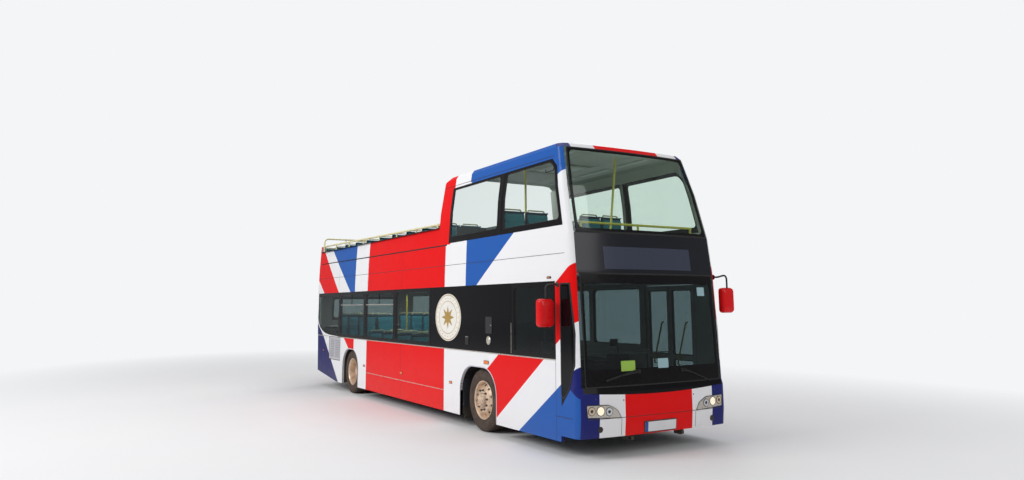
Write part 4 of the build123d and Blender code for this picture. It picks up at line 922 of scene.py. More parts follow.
def make_wheels():
    inner_y = rear_tyre_low.y + TYRE_WIDTH / 2
    for side_name, side in SIDES:
        front = Vector((FRONT_AXLE_X, side * WHEEL_Y, AXLE_Z))
        rear, rear_inner = (Vector((REAR_AXLE_X, side * y, AXLE_Z)) for y in (WHEEL_Y, inner_y))
        form = Form()
        add_tyre(form, front)
        form.piece(f"tyre_front_{side_name}", f"front_wheel_{side_name}", "tyre", [f"front_tyre_{side_name}"], 28)
        form = Form()
        for centre in (rear, rear_inner):
            add_tyre(form, centre)
        form.piece(f"tyres_rear_{side_name}", f"rear_wheels_{side_name}", "tyre", [f"rear_tyres_{side_name}"], 28)
        form = Form()
        add_rim(form, front, side, FRONT_RIM, FRONT_DISC, FRONT_NUTS)
        form.piece(f"wheel_rim_front_{side_name}", f"front_wheel_{side_name}", "wheel_steel",
                   [f"front_rim_{side_name}"])
        form = Form()
        add_rim(form, rear, side, REAR_RIM, REAR_DISC, REAR_NUTS)
        add_rim(form, rear_inner, side, INNER_RIM)
        form.piece(f"wheel_rims_rear_{side_name}", f"rear_wheels_{side_name}", "wheel_steel",
                   [f"rear_rims_{side_name}"])


make_wheels()


# Glass borders, gaskets and trim lines of the body. Places are (distance ahead of the front axle, height).
SALOON_EDGES = (-8.59, -6.8925, -5.195, -3.4975, -1.80)
DRIVER_PANE = (1.0, 2.14)
KERB_EDGES = (-1.80, -0.43, 0.94)
PANE_MARGIN = 0.070
PANE_GAP = (0.004, 0.002)
HOPPER_Z = 1.93
HOPPER_PANES = (1, 2)
# Outer and inner polygon, and the inner one's corner radii
UPPER_PANES = (
    (((-1.140, 2.955), (0.600, 2.955), (0.600, 3.910), (-1.140, 3.910)),
     ((-1.085, 3.060), (0.530, 3.060), (0.530, 3.870), (-1.085, 3.870)), (0.05, 0.05, 0.05, 0.05)),
    (((0.660, 2.955), (2.310, 2.955), (2.095, 3.790), (1.960, 3.910), (0.660, 3.910)),
     ((0.735, 3.040), (2.225, 3.040), (2.045, 3.745), (1.945, 3.868), (0.735, 3.868)), (0.05, 0.05, 0.17, 0.17, 0.05)),
)
QUARTER_GLASS = ((2.262, 2.180), (2.470, 2.180), (2.546, 1.540), (2.546, 1.150), (2.432, 0.846), (2.262, 0.650))
QUARTER_RADII = (0.03, 0.03, 0.2, 0.3, 0.25, 0.05)
SCREENS = (
    (((-1.150, 0.872), (1.150, 0.872), (1.150, 2.306), (-1.150, 2.306)),
     ((-1.112, 1.085), (1.112, 1.085), (1.105, 2.180), (-1.105, 2.180)), 0.05),
    (((-1.150, 2.864), (1.150, 2.864), (1.115, 3.50), (1.042, 4.060), (-1.042, 4.060), (-1.115, 3.50)),
     ((-1.110, 2.910), (1.110, 2.910), (1.078, 3.50), (1.008, 4.025), (-1.008, 4.025), (-1.078, 3.50)), 0.07),
)
# Seals over and under the black panel between the screens: height, width
SCREEN_SEALS = ((2.311, 0.022), (2.857, 0.026))
REAR_GLASS = (((-0.90, 1.56), (0.90, 1.56), (0.88, 2.14), (-0.88, 2.14)),
              ((-0.84, 1.62), (0.84, 1.62), (0.82, 2.08), (-0.82, 2.08)))


def pane_frame(x, margin_x, margin_z):
    """The rectangle of a band pane between two x, drawn in by margins."""
    return rectangle((x[0] + margin_x, x[1] - margin_x), (BAND_Z[0] + margin_z, BAND_Z[1] - margin_z))


def make_glass_borders():
    form, silver = Form(), Form()
    for side in SIGNS:
        place, near = on_side(side), ahead_on_side(side)
        panes = list(zip(SALOON_EDGES, SALOON_EDGES[1:]))
        panes += [DRIVER_PANE] if side < 0 else list(zip(KERB_EDGES, KERB_EDGES[1:]))
        for number, edges in enumerate(panes):
            x = [from_front(edge) for edge in edges]
            inner = pane_frame(x, PANE_MARGIN, PANE_MARGIN)
            border(form, pane_frame(x, *PANE_GAP), inner, place)
            if number in HOPPER_PANES:
                ends = (inner[0][0] + 0.01, inner[1][0] - 0.01)
                middle = sum(ends) / 2
                line(silver, place, ((ends[0], HOPPER_Z), (ends[1], HOPPER_Z)), "silver", 0.016, 0.006)
                line(silver, place, ((middle, HOPPER_Z), (middle, inner[2][1])), "black_glass", 0.03, 0.004)
        for outer, inner, radii in UPPER_PANES:
            border(form, outer, inner, near, radii, 0.02)
            gasket(form, near, inner, radii, "rubber", 0.010, 0.004)
        line(form, near, ((0.630, 2.960), (0.630, 3.905)), "black_glass", 0.080, 0.0040)
        gasket(form, near, QUARTER_GLASS, QUARTER_RADII, "rubber", 0.022, 0.005, 0.06)
        line(silver, near, [(u, BAND_Z[0] - 0.004) for u in (-8.56, 1.0, 2.135)], "silver", 0.016, 0.005)
    for outer, inner, radius in SCREENS:
        border(form, outer, inner, on_front, radius, 0.02)
        gasket(form, on_front, outer, 0.03, "rubber", 0.018, 0.006)
    for level, width in SCREEN_SEALS:
        line(form, on_front, ((-1.17, level), (1.17, level)), "rubber", width, 0.004, 0.06)
    border(form, *REAR_GLASS, on_rear, 0.06)
    gasket(form, on_rear, REAR_GLASS[0], 0.03, "rubber", 0.02, 0.006)
    form.piece("glass_borders", "bus_body", "black_glass")
    silver.piece("band_trim", "bus_body", "lamp_silver")


# Thin seams and mouldings of each side: ends, width, height, finish; and those of the side without the door
SIDE_LINES = (
    ((-8.45, 2.950), (-1.20, 2.930), 0.020, 0.006, "rubber"),
    ((-0.42, 2.580), (2.36, 2.580), 0.007, 0.0018, "dark_trim"),
    ((-8.55, 2.580), (-0.44, 2.580), 0.007, 0.0018, "dark_trim"),
    ((-5.03, 0.525), (-1.25, 0.515), 0.010, 0.0030, "silver"),
    ((-1.46, 3.950), (2.00, 3.950), 0.008, 0.0020, "rubber"),
)
DRIVER_LINES = (
    ((2.13, 0.200), (2.13, 1.190), 0.006, 0.0010, "dark_trim"),
    ((2.14, 0.490), (2.58, 0.490), 0.007, 0.0015, "rubber"),
)
# Upright panel seams: distance ahead of the front axle, foot, top
SIDE_SEAMS = (
    (-5.03, 0.200, 1.190), (-3.14, 0.200, 1.190), (-1.25, 0.200, 1.190),
    (-5.06, 2.226, 2.940), (-3.14, 2.226, 2.940), (-1.24, 2.226, 2.930), (-7.00, 2.226, 2.940),
)
# Seams across the nose and up it, as (y, z) of their ends, width and height
NOSE_SEAMS = (
    ((-1.14, 0.487), (1.14, 0.487), 0.007, 0.0015),
    ((-0.634, 0.27), (-0.634, 0.48), 0.006, 0.0012),
    ((0.634, 0.27), (0.634, 0.48), 0.006, 0.0012),
)
# The cap along the top of the open deck's sides
CAP_Y, CAP_Z = 1.242, 3.245
CAP_FRONT = -1.55
CAP_POINTS = 24


def make_trim():
    form = Form()
    for side in SIGNS:
        near = ahead_on_side(side)
        for *ends, width, height, finish in SIDE_LINES + (DRIVER_LINES if side < 0 else ()):
            line(form, near, ends, finish, width, height)
        for x, foot, top in SIDE_SEAMS:
            line(form, near, ((x, foot), (x, top)), "dark_trim", 0.005, 0.0010)
        x_rear, x_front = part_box("side_upper_left")[0].x + 0.01, from_front(CAP_FRONT)
        cap = [(Vector((x, side * CAP_Y, CAP_Z)), Vector(UP)) for x in np.linspace(x_rear, x_front, CAP_POINTS)]
        strip(form, cap, "rubber", 0.060, 0.010)
    for *ends, width, height in NOSE_SEAMS:
        line(form, on_front, ends, "rubber", width, height)
    form.piece("body_trim", "bus_body", "black_plastic")


# Headlamps: housing outline as (|y|, z), and the lamps in it with their bowls and lenses
HEADLAMP_EDGE = ((1.150, 0.508), (0.636, 0.480), (0.700, 0.590), (0.830, 0.655), (1.165, 0.668))
HEADLAMP_RADII = (0.012, 0.012, 0.10, 0.12, 0.012)
HEADLAMP_MIDDLE = (0.92, 0.58)
LAMPS = ((1.090, 0.590, 0.047, "lens_tan", "lens_dark"), (0.960, 0.585, 0.052, "lens_warm", "lens_warm"),
         (0.830, 0.572, 0.047, "bright_metal", "lens_dark"))
# Of a lamp's radius: the rim, the bowl and the lens
LAMP_RIM = ((1.16, 0.0), (1.16, 0.004), (1.04, 0.0065), (1.0, 0.0055))
LAMP_BOWL = ((1.0, 0.0060), (0.80, 0.0030), (0.35, 0.0024))
LAMP_LENS = ((0.50, 0.0022), (0.47, 0.0060), (0.32, 0.0085), (0.0, 0.0100))


def make_headlamps():
    form = Form()
    for side in SIGNS:
        place = mirrored(on_front, side)
        u0, v0 = HEADLAMP_MIDDLE
        inner = [((u - u0) * 0.965 + u0, (v - v0) * 0.90 + v0) for u, v in HEADLAMP_EDGE]
        plate(form, HEADLAMP_EDGE, HEADLAMP_RADII, place, "black_plastic", 0.007, spacing=0.05)
        plate(form, inner, HEADLAMP_RADII, place, "silver", 0.010, 0.004, spacing=0.05, soft=0.02)
        for u, v, radius, bowl, glass_finish in LAMPS:
            found = place(u, v)
            for profile, finish, sides in ((LAMP_RIM, "black_plastic", 28), (LAMP_BOWL, bowl, 28),
                                           (LAMP_LENS, glass_finish, 24)):
                boss(form, found, [(radius * r, out) for r, out in profile], finish, sides, 0.008)
    form.piece("headlamp_units", "bus_body", "lamp_silver", ["headlamps"])


# Rear lamp columns: |y|, z of each lamp's middle and its lens
REAR_LAMP_Y = 1.070
REAR_LAMP_PLATE = rectangle((1.005, 1.135), (1.482, 2.112))
REAR_LAMPS = ((1.570, "lens_red"), (1.720, "lens_amber"), (1.870, "lens_clear"), (2.020, "lens_red"))
REAR_LAMP_RIM = ((0.060, 0.0), (0.060, 0.004), (0.054, 0.0065), (0.051, 0.0050))
REAR_LAMP_LENS = ((0.051, 0.0040), (0.046, 0.0075), (0.030, 0.0095), (0.0, 0.0105))


def make_rear_lamps():
    form = Form()
    for side in SIGNS:
        place = mirrored(on_rear, side)
        plate(form, REAR_LAMP_PLATE, 0.02, place, "black_plastic", 0.006)
        for z, finish in REAR_LAMPS:
            found = place(REAR_LAMP_Y, z)
            boss(form, found, REAR_LAMP_RIM, "black_plastic", 28, 0.005)
            boss(form, found, REAR_LAMP_LENS, finish, 24, 0.005)
    form.piece("rear_lamp_units", "bus_body", "lamp_red", ["rear_lamps"])


# Side markers and reflectors: distance ahead of the front axle on each side, height, half sizes, finish
MARKERS = (((0.243, 0.85), 1.051, 0.075, 0.022, "lens_amber"), ((-0.983, -0.983), 0.657, 0.050, 0.016, "lens_amber"),
           ((-3.100, -3.100), 0.657, 0.050, 0.016, "lens_amber"), ((-5.161, -5.161), 0.657, 0.050, 0.016, "lens_amber"),
           ((-8.050, -8.050), 0.850, 0.050, 0.016, "lens_red"))
MARKER_RIM = 0.006


def make_markers():
    form = Form()
    for number, side in enumerate(SIGNS):
        for places, z, half_x, half_z, finish in MARKERS:
            x = places[number]
            for grown, radius, shown, how in (
                    (MARKER_RIM, 0.014, "black_plastic", {"out": 0.004}),
                    (0.0, 0.012, finish, {"out": 0.012, "base": 0.002, "soft": 0.18})):
                edge = rectangle((x - half_x - grown, x + half_x + grown), (z - half_z - grown, z + half_z + grown))
                plate(form, edge, radius, ahead_on_side(side), shown, spacing=0.05, **how)
    form.piece("side_markers", "bus_body", "lamp_red")


BADGE_PLACE = (-1.10, 1.71)
BADGE_HALF = (0.485, 0.390)
BADGE_STEPS = 72
BADGE_FACE = 0.0045
# The badge's rings from its edge inwards: finish, and (share of the badge, height) of each line
BADGE_RINGS = (
    ("badge_white", ((1.0, -0.002), (1.0, 0.0035), (0.985, BADGE_FACE))),
    ("badge_white", ((0.985, BADGE_FACE), (0.965, BADGE_FACE))),
    ("gold", ((0.965, BADGE_FACE), (0.960, 0.0055), (0.935, 0.0055), (0.930, BADGE_FACE))),
    ("badge_white", ((0.930, BADGE_FACE), (0.70, BADGE_FACE))),
    ("gold", ((0.70, BADGE_FACE), (0.695, 0.0052), (0.680, 0.0052), (0.675, BADGE_FACE))),
)
STAR_REACH = (0.50, 0.22)
STAR_STEPS = 16
BADGE_DOTS = 24


def make_badge():
    """A plain oval disc with a gold ring and a star, on the solid panel of the band."""
    form = Form()

    def on_badge(scale, t):
        return ahead_on_side(-1)(BADGE_PLACE[0] + BADGE_HALF[0] * scale * math.cos(t),
                                 BADGE_PLACE[1] + BADGE_HALF[1] * scale * math.sin(t))

    def oval(scale, out):
        return [raised(on_badge(scale, math.tau * k / BADGE_STEPS), out) for k in range(BADGE_STEPS)]

    middle = raised(on_badge(0.0, 0.0), 0.0040)
    for finish, ring in BADGE_RINGS:
        rings(form, [oval(*part) for part in ring], finish)
    form.fan(oval(0.675, BADGE_FACE), middle, "badge_white")
    star = [raised(on_badge(STAR_REACH[k % 2], math.tau * k / STAR_STEPS + math.pi / 2), 0.0052)
            for k in range(STAR_STEPS)]
    form.fan(star, middle + Vector((0, -0.010, 0)), "gold")
    for k in range(BADGE_DOTS):
        found = on_badge(0.815, math.tau * k / BADGE_DOTS)
        boss(form, found, ((0.011, 0.0), (0.009, 0.002), (0.0, 0.003)), "gold", 12, 0.0043)
    form.piece("side_badge", "bus_body", "lamp_silver", angle=20)


# Blank number plates: y, z, corner radius, place, finish, height, its foot, spacing
PLATES = (
    ((-0.275, 0.275), (0.268, 0.416), 0.012, on_front, "black_plastic", 0.008, -0.003, 0.08),
    ((-0.262, 0.262), (0.281, 0.403), 0.010, on_front, "plate_white", 0.012, 0.006, 0.08),
    ((-0.262, -0.216), (0.281, 0.403), 0.006, on_front, "plate_blue", 0.0135, 0.010, 0.05),
    ((-0.275, 0.275), (0.455, 0.595), 0.012, on_rear, "black_plastic", 0.008, -0.003, 0.08),
    ((-0.262, 0.262), (0.467, 0.583), 0.010, on_rear, "plate_yellow", 0.012, 0.006, 0.08),
)


def make_plates():
    form = Form()
    for y, z, radius, *how in PLATES:
        plate(form, rectangle(y, z), radius, *how)
    for y in (-0.20, 0.20):
        boss(form, on_front(y, 0.342), ((0.007, 0.0), (0.007, 0.002), (0.0, 0.003)), "plate_white", 12, 0.012)
    form.piece("number_plates", "bus_body", "lamp_silver")


# Wipers: (y, z) of pivot, arm end and blade ends on the lower screen
WIPER_SETS = (((-0.320, 1.045), (-0.600, 1.000), (-0.350, 1.062), (-0.850, 0.945)),
              ((0.430, 1.030), (0.700, 0.960), (0.455, 1.045), (0.960, 0.860)))
WIPER_STEPS = 12
WIPER_CLIPS = (0.15, 0.40, 0.60, 0.85)
WIPER_HUB = ((0.030, 0.0), (0.030, 0.012), (0.022, 0.020), (0.012, 0.024), (0.0, 0.025))


def make_wipers():
    form = Form()
    for pivot, arm_end, *blade_ends in WIPER_SETS:
        start, end = on_front(*pivot), on_front(*arm_end)
        boss(form, start, WIPER_HUB, "wiper_black", 20)
        tube(form, [raised(start, 0.018), raised(start, 0.018).lerp(raised(end, 0.026), 0.5), raised(end, 0.022)],
             [0.015, 0.012, 0.009], "wiper_black", 8)
        blade = [on_front(*between(*blade_ends, k / WIPER_STEPS)) for k in range(WIPER_STEPS + 1)]
        strip(form, [(raised(f, 0.003), f[1]) for f in blade], "wiper_black", 0.010, 0.008, sunk=0.0, section=SQUARE)
        strip(form, [(raised(f, 0.011), f[1]) for f in blade], "wiper_black", 0.024, 0.006, sunk=0.0)
        for share in WIPER_CLIPS:
            turn = Matrix.Translation(raised(on_front(*between(*blade_ends, share)), 0.014))
            block(form, (-0.004, -0.012, -0.010), (0.004, 0.012, 0.010), "wiper_black", 0.003, turn)
    form.piece("wiper_sets", "bus_body", "black_plastic", ["wipers"])


# Mirrors: arm path and housing box, with x from the front axle
MIRRORS = (
    (((2.200, -1.265, 2.172), (2.200, -1.340, 2.172), (2.190, -1.446, 2.165), (2.190, -1.446, 1.960)),
     (2.125, 2.235), (-1.562, -1.330), (1.622, 1.985)),
    (((2.514, 1.233, 2.290), (2.560, 1.279, 2.290), (2.572, 1.448, 2.330), (2.572, 1.448, 2.110)),
     (2.505, 2.615), (1.335, 1.562), (1.780, 2.140)),
)
ARM_RADIUS = 0.013
ARM_FOOT = ((0.036, -0.004), (0.036, 0.008), (0.022, 0.014), (0.014, 0.030))
# The housing from its open back to its nose: share of its depth, scale
MIRROR_SHAPE = ((0.0, 0.93), (0.04, 0.985), (0.12, 1.0), (0.55, 1.0), (0.80, 0.93), (0.94, 0.78), (1.0, 0.55))
UNDIVIDED = 10.0


def make_mirrors():
    form = Form()
    for corners, x, y, z in MIRRORS:
        path = [(from_front(a), b, c) for a, b, c in corners]
        back, nose = (from_front(a) for a in x)
        tube(form, bend(path, 0.08), ARM_RADIUS, "black_plastic", 12)
        turned(form, ARM_FOOT, path[0], "black_plastic", (0, math.copysign(1, path[0][1]), 0), 20)
        middle_y, middle_z = sum(y) / 2, sum(z) / 2
        loops = []
        for share, scale in MIRROR_SHAPE:
            half_y, half_z = (y[1] - y[0]) / 2 * scale, (z[1] - z[0]) / 2 * scale
            edge = outline(rectangle((middle_y - half_y, middle_y + half_y), (middle_z - half_z, middle_z + half_z)),
                           min(half_y, half_z) * 0.42, 6, UNDIVIDED)
            loops.append([(back + (nose - back) * share, *p) for p in edge])
        rings(form, loops, "mirror_red", cap_end=True)
        edge = outline(rectangle((y[0] + 0.012, y[1] - 0.012), (z[0] + 0.015, z[1] - 0.015)), 0.04, 6, UNDIVIDED)
        face, lip = ([(back + deep, *p) for p in edge] for deep in (0.004, 0.0))
        form.add(face, [tuple(reversed(range(len(face))))], "mirror_face")
        rings(form, [loops[0], [(back - 0.002, b, c) for a, b, c in loops[0]], lip, face], "black_plastic")
    form.piece("mirror_units", "bus_body", "mirror_red", ["mirrors"])


# Engine bay louvres on each side, painted with the panel
LOUVRE_ROWS = 11
LOUVRE_SECTION = ((-0.004, 0.014), (-0.002, 0.016), (-0.022, -0.014), (-0.026, -0.016), (-0.006, 0.010))
GRILLE_FRAME = 0.028
GRILLE_DEPTH = 0.03
GRILLE_POST_HALF = 0.010
GRILLE_BACK = 0.034


def make_side_louvres():
    form = Form()
    low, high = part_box("side_grilles")
    x, z = (low.x, high.x), (low.z, high.z)
    inner_x, inner_z = (x[0] + GRILLE_FRAME, x[1] - GRILLE_FRAME), (z[0] + GRILLE_FRAME, z[1] - GRILLE_FRAME)
    middle_x = sum(x) / 2
    bars = ((x, (z[0], inner_z[0])), (x, (inner_z[1], z[1])), ((x[0], inner_x[0]), inner_z),
            ((inner_x[1], x[1]), inner_z), ((middle_x - GRILLE_POST_HALF, middle_x + GRILLE_POST_HALF), inner_z))
    for side in SIGNS:
        out_y = side * high.y
        ys = sorted((out_y, out_y - side * GRILLE_DEPTH))
        for bar_x, bar_z in bars:
            block(form, (bar_x[0], ys[0], bar_z[0]), (bar_x[1], ys[1], bar_z[1]), "grille_paint", 0.004)
        for k in range(LOUVRE_ROWS):
            middle = inner_z[0] + (inner_z[1] - inner_z[0]) * (k + 0.5) / LOUVRE_ROWS
            rings(form, [[(end, out_y + side * u, middle - v) for u, v in LOUVRE_SECTION] for end in inner_x],
                  "grille_paint")
        back = out_y - side * GRILLE_BACK
        ys = sorted((back, back - side * 0.004))
        block(form, (x[0] + 0.004, ys[0], z[0] + 0.004), (x[1] - 0.004, ys[1], z[1] - 0.004), "chassis", 0.001)
        edge = rectangle((x[0] - 0.009, x[1] + 0.009), (z[0] - 0.009, z[1] + 0.009))
        gasket(form, on_side(side), edge, 0.012, "rubber", 0.012, 0.004)
    form.piece("side_louvres", "bus_body", "grille_black", ["side_grilles"])


DOOR_LOUVRES = [0.78 + row * 0.052 for row in range(9)]
DOOR_LOUVRE_SECTION = ((0.020, 0.000), (0.016, 0.006), (-0.006, 0.016), (-0.012, 0.016), (-0.014, 0.004))
DOOR_LOUVRE_LENGTH = 0.66
DOOR_LATCH = ((0.026, 0.0), (0.026, 0.004), (0.020, 0.007), (0.0, 0.007))


def make_engine_door_louvres():
    """Pressed louvres of the engine door with a thin black strip under each as painted shadow, and its latches; they
    ride on the door.
    """
    form = Form()
    for z in DOOR_LOUVRES:
        for y_middle in (-0.46, 0.46):
            found = [on_rear(y_middle + (u - 0.5) * DOOR_LOUVRE_LENGTH, z) for u in np.linspace(0, 1, 10)]
            solid(form, [[raised(f, v) + Vector((0, 0, u)) for u, v in DOOR_LOUVRE_SECTION] for f in found], "livery")
            # A thin black strip just under each louvre: painted shadow, in the rubber finish
            shadow = [[raised(f, 0.0006) + Vector((0, 0, u)) for u in (-0.014, -0.020)] for f in found]
            rings(form, shadow, "rubber", closed=False)
    for y in (-0.80, 0.80):
        boss(form, on_rear(y, 0.665), DOOR_LATCH, "black_plastic", 20)
    form.piece("engine_door_louvres", "engine_door", "livery_paint")


# Upper edge of the painted panels that sweep over the band's rear lower ends
CORNER_SWEEP = ((-8.655, 1.800), (-8.610, 1.640), (-8.530, 1.500), (-8.400, 1.395), (-8.200, 1.310), (-7.950, 1.255),
                (-7.600, 1.225), (-6.950, 1.210))
CORNER_FOOT_Z = 1.198
CORNER_OUT = 0.004


def make_rear_corners():
    form = Form()
    for side in SIGNS:
        near = ahead_on_side(side)
        rows = [[near(x, z + (CORNER_FOOT_Z - z) * share) for x, z in CORNER_SWEEP] for share in (1.0, 0.5, 0.0)]
        rings(form, [[raised(f, CORNER_OUT) for f in row] for row in rows], "livery", closed=False)
        rings(form, [[raised(f, out) for f in rows[-1]] for out in (CORNER_OUT, -CORNER_OUT)], "rubber", closed=False)
    form.piece("rear_corner_panels", "bus_body", "livery_paint")


make_glass_borders()
make_trim()
make_headlamps()
make_rear_lamps()
make_markers()
make_badge()
make_plates()
make_wipers()
make_mirrors()
make_side_louvres()
make_engine_door_louvres()
make_rear_corners()


# Seats. Pads are simulated once as cloth under pressure, then copied to every seat
SEAT_HALF = 0.215
SEAT_PAD_WIDTH = 0.405
PAD_CAP = 0.009
PAD_FRAMES = 20
PAD_CLOTH = {"quality": 8, "mass": 0.3, "tension_stiffness": 25, "compression_stiffness": 25, "bending_stiffness": 2,
             "use_pressure": True, "uniform_pressure_force": 4, "vertex_group_mass": "resting"}
PLAIN_SPLIT = [-1, -0.86, -0.68, -0.45, -0.2, 0, 0.2, 0.45, 0.68, 0.86, 1]
SEWN_SPLIT = [-1, -0.88, -0.70, -0.50, -0.40, -0.385, -0.37, -0.2, 0, 0.2, 0.37, 0.385, 0.40, 0.50, 0.70, 0.88, 1]
SEWN_AT = (-0.385, 0.385)
SEWN_DEPTH = 0.007
PIPING_RADIUS = 0.0036


def solid_boxes(name):
    """(low, high) of each separate solid in a CAD node."""
    data = nodes[name].data
    keys = [tuple(round(c, 4) for c in v.co) for v in data.vertices]
    parent = {key: key for key in keys}

    def root(key):
        while parent[key] != key:
            parent[key] = parent[parent[key]]
            key = parent[key]
        return key

    for edge in data.edges:
        parent[root(keys[edge.vertices[0]])] = root(keys[edge.vertices[1]])
    groups = {}
    for key in parent:
        groups.setdefault(root(key), []).append(key)
    boxes = [(Vector(np.min(g, axis=0)), Vector(np.max(g, axis=0))) for g in groups.values()]
    return sorted(boxes, key=lambda b: (round(b[0].y, 2), b[0].x))


def pad_form(depth, width, height, splits_x):
    """A boxed pad lying flat, its top crowned: points, faces, the top seam's indices and the resting ones."""
    count_x, count_y = len(splits_x), len(PLAIN_SPLIT)
    points = []
    for level in (1, -1):
        for u in splits_x:
            for v in PLAIN_SPLIT:
                reach, spread = (1 - 0.018 * (1 - w * w) for w in (v, u))
                edge = max(abs(u), abs(v)) ** 8
                z = height / 2 * (1 - 0.45 * edge) if level > 0 else -height / 2 * (1 - 0.2 * edge)
                points.append((u * depth / 2 * reach * (1 - 0.05 * v ** 10),
                               v * width / 2 * spread * (1 - 0.05 * u ** 10), z))
    base = count_x * count_y
    faces = []
    for i in range(count_x - 1):
        for j in range(count_y - 1):
            a, b, c, d = i * count_y + j, (i + 1) * count_y + j, (i + 1) * count_y + j + 1, i * count_y + j + 1
            faces += [(a, b, c, d), (base + d, base + c, base + b, base + a)]
    loop = [i * count_y for i in range(count_x)] + [(count_x - 1) * count_y + j for j in range(1, count_y)]
    loop += [i * count_y + count_y - 1 for i in range(count_x - 2, -1, -1)] + list(range(count_y - 2, 0, -1))
    first = len(points)
    for i in loop:
        x, y, z = points[i]
        points.append((x * 1.012, y * 1.012, 0.02 * height))
    for k in range(len(loop)):
        n = (k + 1) % len(loop)
        faces.append((loop[n], loop[k], first + k, first + n))
        faces.append((first + n, first + k, base + loop[k], base + loop[n]))
    resting = [base + i * count_y + j for i in range(1, count_x - 1) for j in range(1, count_y - 1)]
    return points, faces, loop, resting


def swollen(points, faces, resting):
    """The pad's points after its cover has been blown up as cloth, each move held to a cap."""
    data = bpy.data.meshes.new("pad_master")
    data.from_pydata(points, [], faces)
    master = linked("pad_master", data)
    master.vertex_groups.new(name="resting").add(resting, 1.0, "REPLACE")
    cloth = master.modifiers.new("cloth", "CLOTH")
    for key, value in PAD_CLOTH.items():
        setattr(cloth.settings, key, value)
    cloth.settings.effector_weights.gravity = 0
    cloth.point_cache.frame_start = 1
    cloth.point_cache.frame_end = PAD_FRAMES
    for number in range(1, PAD_FRAMES + 1):
        scene.frame_set(number)
    found = master.evaluated_get(bpy.context.evaluated_depsgraph_get()).data
    moved = []
    for start, vertex in zip(points, found.vertices):
        move = vertex.co - Vector(start)
        if move.length > PAD_CAP:
            move = move.normalized() * PAD_CAP
        moved.append(tuple(Vector(start) + move))
    bpy.data.objects.remove(master)
    scene.frame_set(1)
    return moved


class Pad:
    """One upholstered pad, with its piping, ready to be placed many times."""

    def __init__(self, depth, width, height, splits_x=PLAIN_SPLIT, sewn=()):
        points, self.faces, self.loop, resting = pad_form(depth, width, height, splits_x)
        self.points = swollen(points, self.faces, resting)
        count_y = len(PLAIN_SPLIT)
        for i, u in enumerate(splits_x):
            if u in sewn:
                for j in range(i * count_y + 1, (i + 1) * count_y - 1):
                    x, y, z = self.points[j]
                    self.points[j] = (x, y, z - SEWN_DEPTH)

    def put(self, form, turn, finish, piping):
        form.add([turn @ Vector(p) for p in self.points], self.faces, finish)
        seam = [turn @ (Vector(self.points[i]) * 1.004) for i in self.loop]
        tube(form, seam, PIPING_RADIUS, piping, 5, closed=True)


def upright(x, y, z, lean):
    """A placement whose own Z faces forward and own X goes up, leaning back by an angle."""
    up = Vector((-math.sin(lean), 0, math.cos(lean)))
    ahead = Vector((math.cos(lean), 0, math.sin(lean)))
    turn = Matrix((up, (0, -1, 0), ahead)).transposed().to_4x4()
    return Matrix.Translation((x, y, z)) @ turn


# The seat shell's section, out and back, as (forward, up), and its cuts: share of the half width, curl forward
SHELL_SECTION = (
    (0.404, 0.458), (0.408, 0.446), (0.398, 0.430), (0.300, 0.420), (0.100, 0.408), (0.000, 0.402), (-0.036, 0.412),
    (-0.048, 0.450), (-0.064, 0.650), (-0.080, 0.850), (-0.087, 0.975), (-0.082, 0.998), (-0.066, 1.008),
    (-0.048, 1.004), (-0.036, 0.990), (-0.048, 0.985), (-0.062, 0.990), (-0.074, 0.970), (-0.066, 0.850),
    (-0.050, 0.650), (-0.034, 0.455), (-0.022, 0.424), (0.000, 0.416), (0.100, 0.422), (0.300, 0.434), (0.388, 0.444))
SHELL_CUTS = ((-1, 0.026), (-0.985, 0.010), (-0.93, 0.002), (-0.5, 0), (0.5, 0), (0.93, 0.002), (0.985, 0.010),
              (1, 0.026))
SHELL_HALF = SEAT_PAD_WIDTH / 2 + 0.006


def seat_shell(form, x, y, floor):
    """The moulded shell of one seat: a thin bent sheet whose side edges curl forward."""
    loops = []
    for share, curl in SHELL_CUTS:
        loop = []
        for u, v in SHELL_SECTION:
            back = v > 0.44 and u < 0
            narrow = 1 - 0.06 * max(0.0, (v - 0.8) / 0.2) ** 2 if back else 1
            loop.append((x + u + (curl if back else 0), y + share * SHELL_HALF * narrow,
                         floor + v + (0 if back else curl)))
        loops.append(loop)
    solid(form, loops, "seat_shell")


# The grab handle over the back, from the seat's place
HANDLE = ((-0.066, -0.150, 0.985), (-0.070, -0.150, 1.032), (-0.070, 0.150, 1.032), (-0.066, 0.150, 0.985))
# Under a double seat: x of its two cross tubes, y of its three bearers and their path
CROSS_TUBES_X = (0.07, 0.31)
BEARERS_Y = (-0.405, 0, 0.405)
BEARER = ((0.36, 0.398), (0.0, 0.388), (-0.030, 0.44))


def grab_handle(form, x, y, floor):
    tube(form, bend([(x + u, y + v, floor + w) for u, v, w in HANDLE], 0.035, 5), 0.0115, "cream", 8)


def seat_frame(form, x, y, floor, foot):
    """Cross tubes under a double seat, its pedestal and foot plate."""
    for along in CROSS_TUBES_X:
        tube(form, ((x + along, y - 0.41, floor + 0.392), (x + along, y + 0.41, floor + 0.392)), 0.014, "cab_grey", 8)
    for side in BEARERS_Y:
        tube(form, bend([(x + u, y + side, floor + w) for u, w in BEARER], 0.03, 4), 0.011, "cab_grey", 8)
    block(form, (x + 0.08, y - 0.11, foot), (x + 0.27, y + 0.11, foot + 0.012), "cab_grey", 0.004)
    for low_x, high_x in ((0.115, 0.075), (0.235, 0.305)):
        levels = ((low_x, 0.022, 0.055, foot + 0.01), ((low_x + high_x) / 2, 0.016, 0.040, (foot + floor + 0.39) / 2),
                  (high_x, 0.022, 0.070, floor + 0.392))
        solid(form, [[(x + u, y + v, z) for u, v in rectangle((mid - w, mid + w), (-d, d))]
                     for mid, w, d, z in levels], "cab_grey")


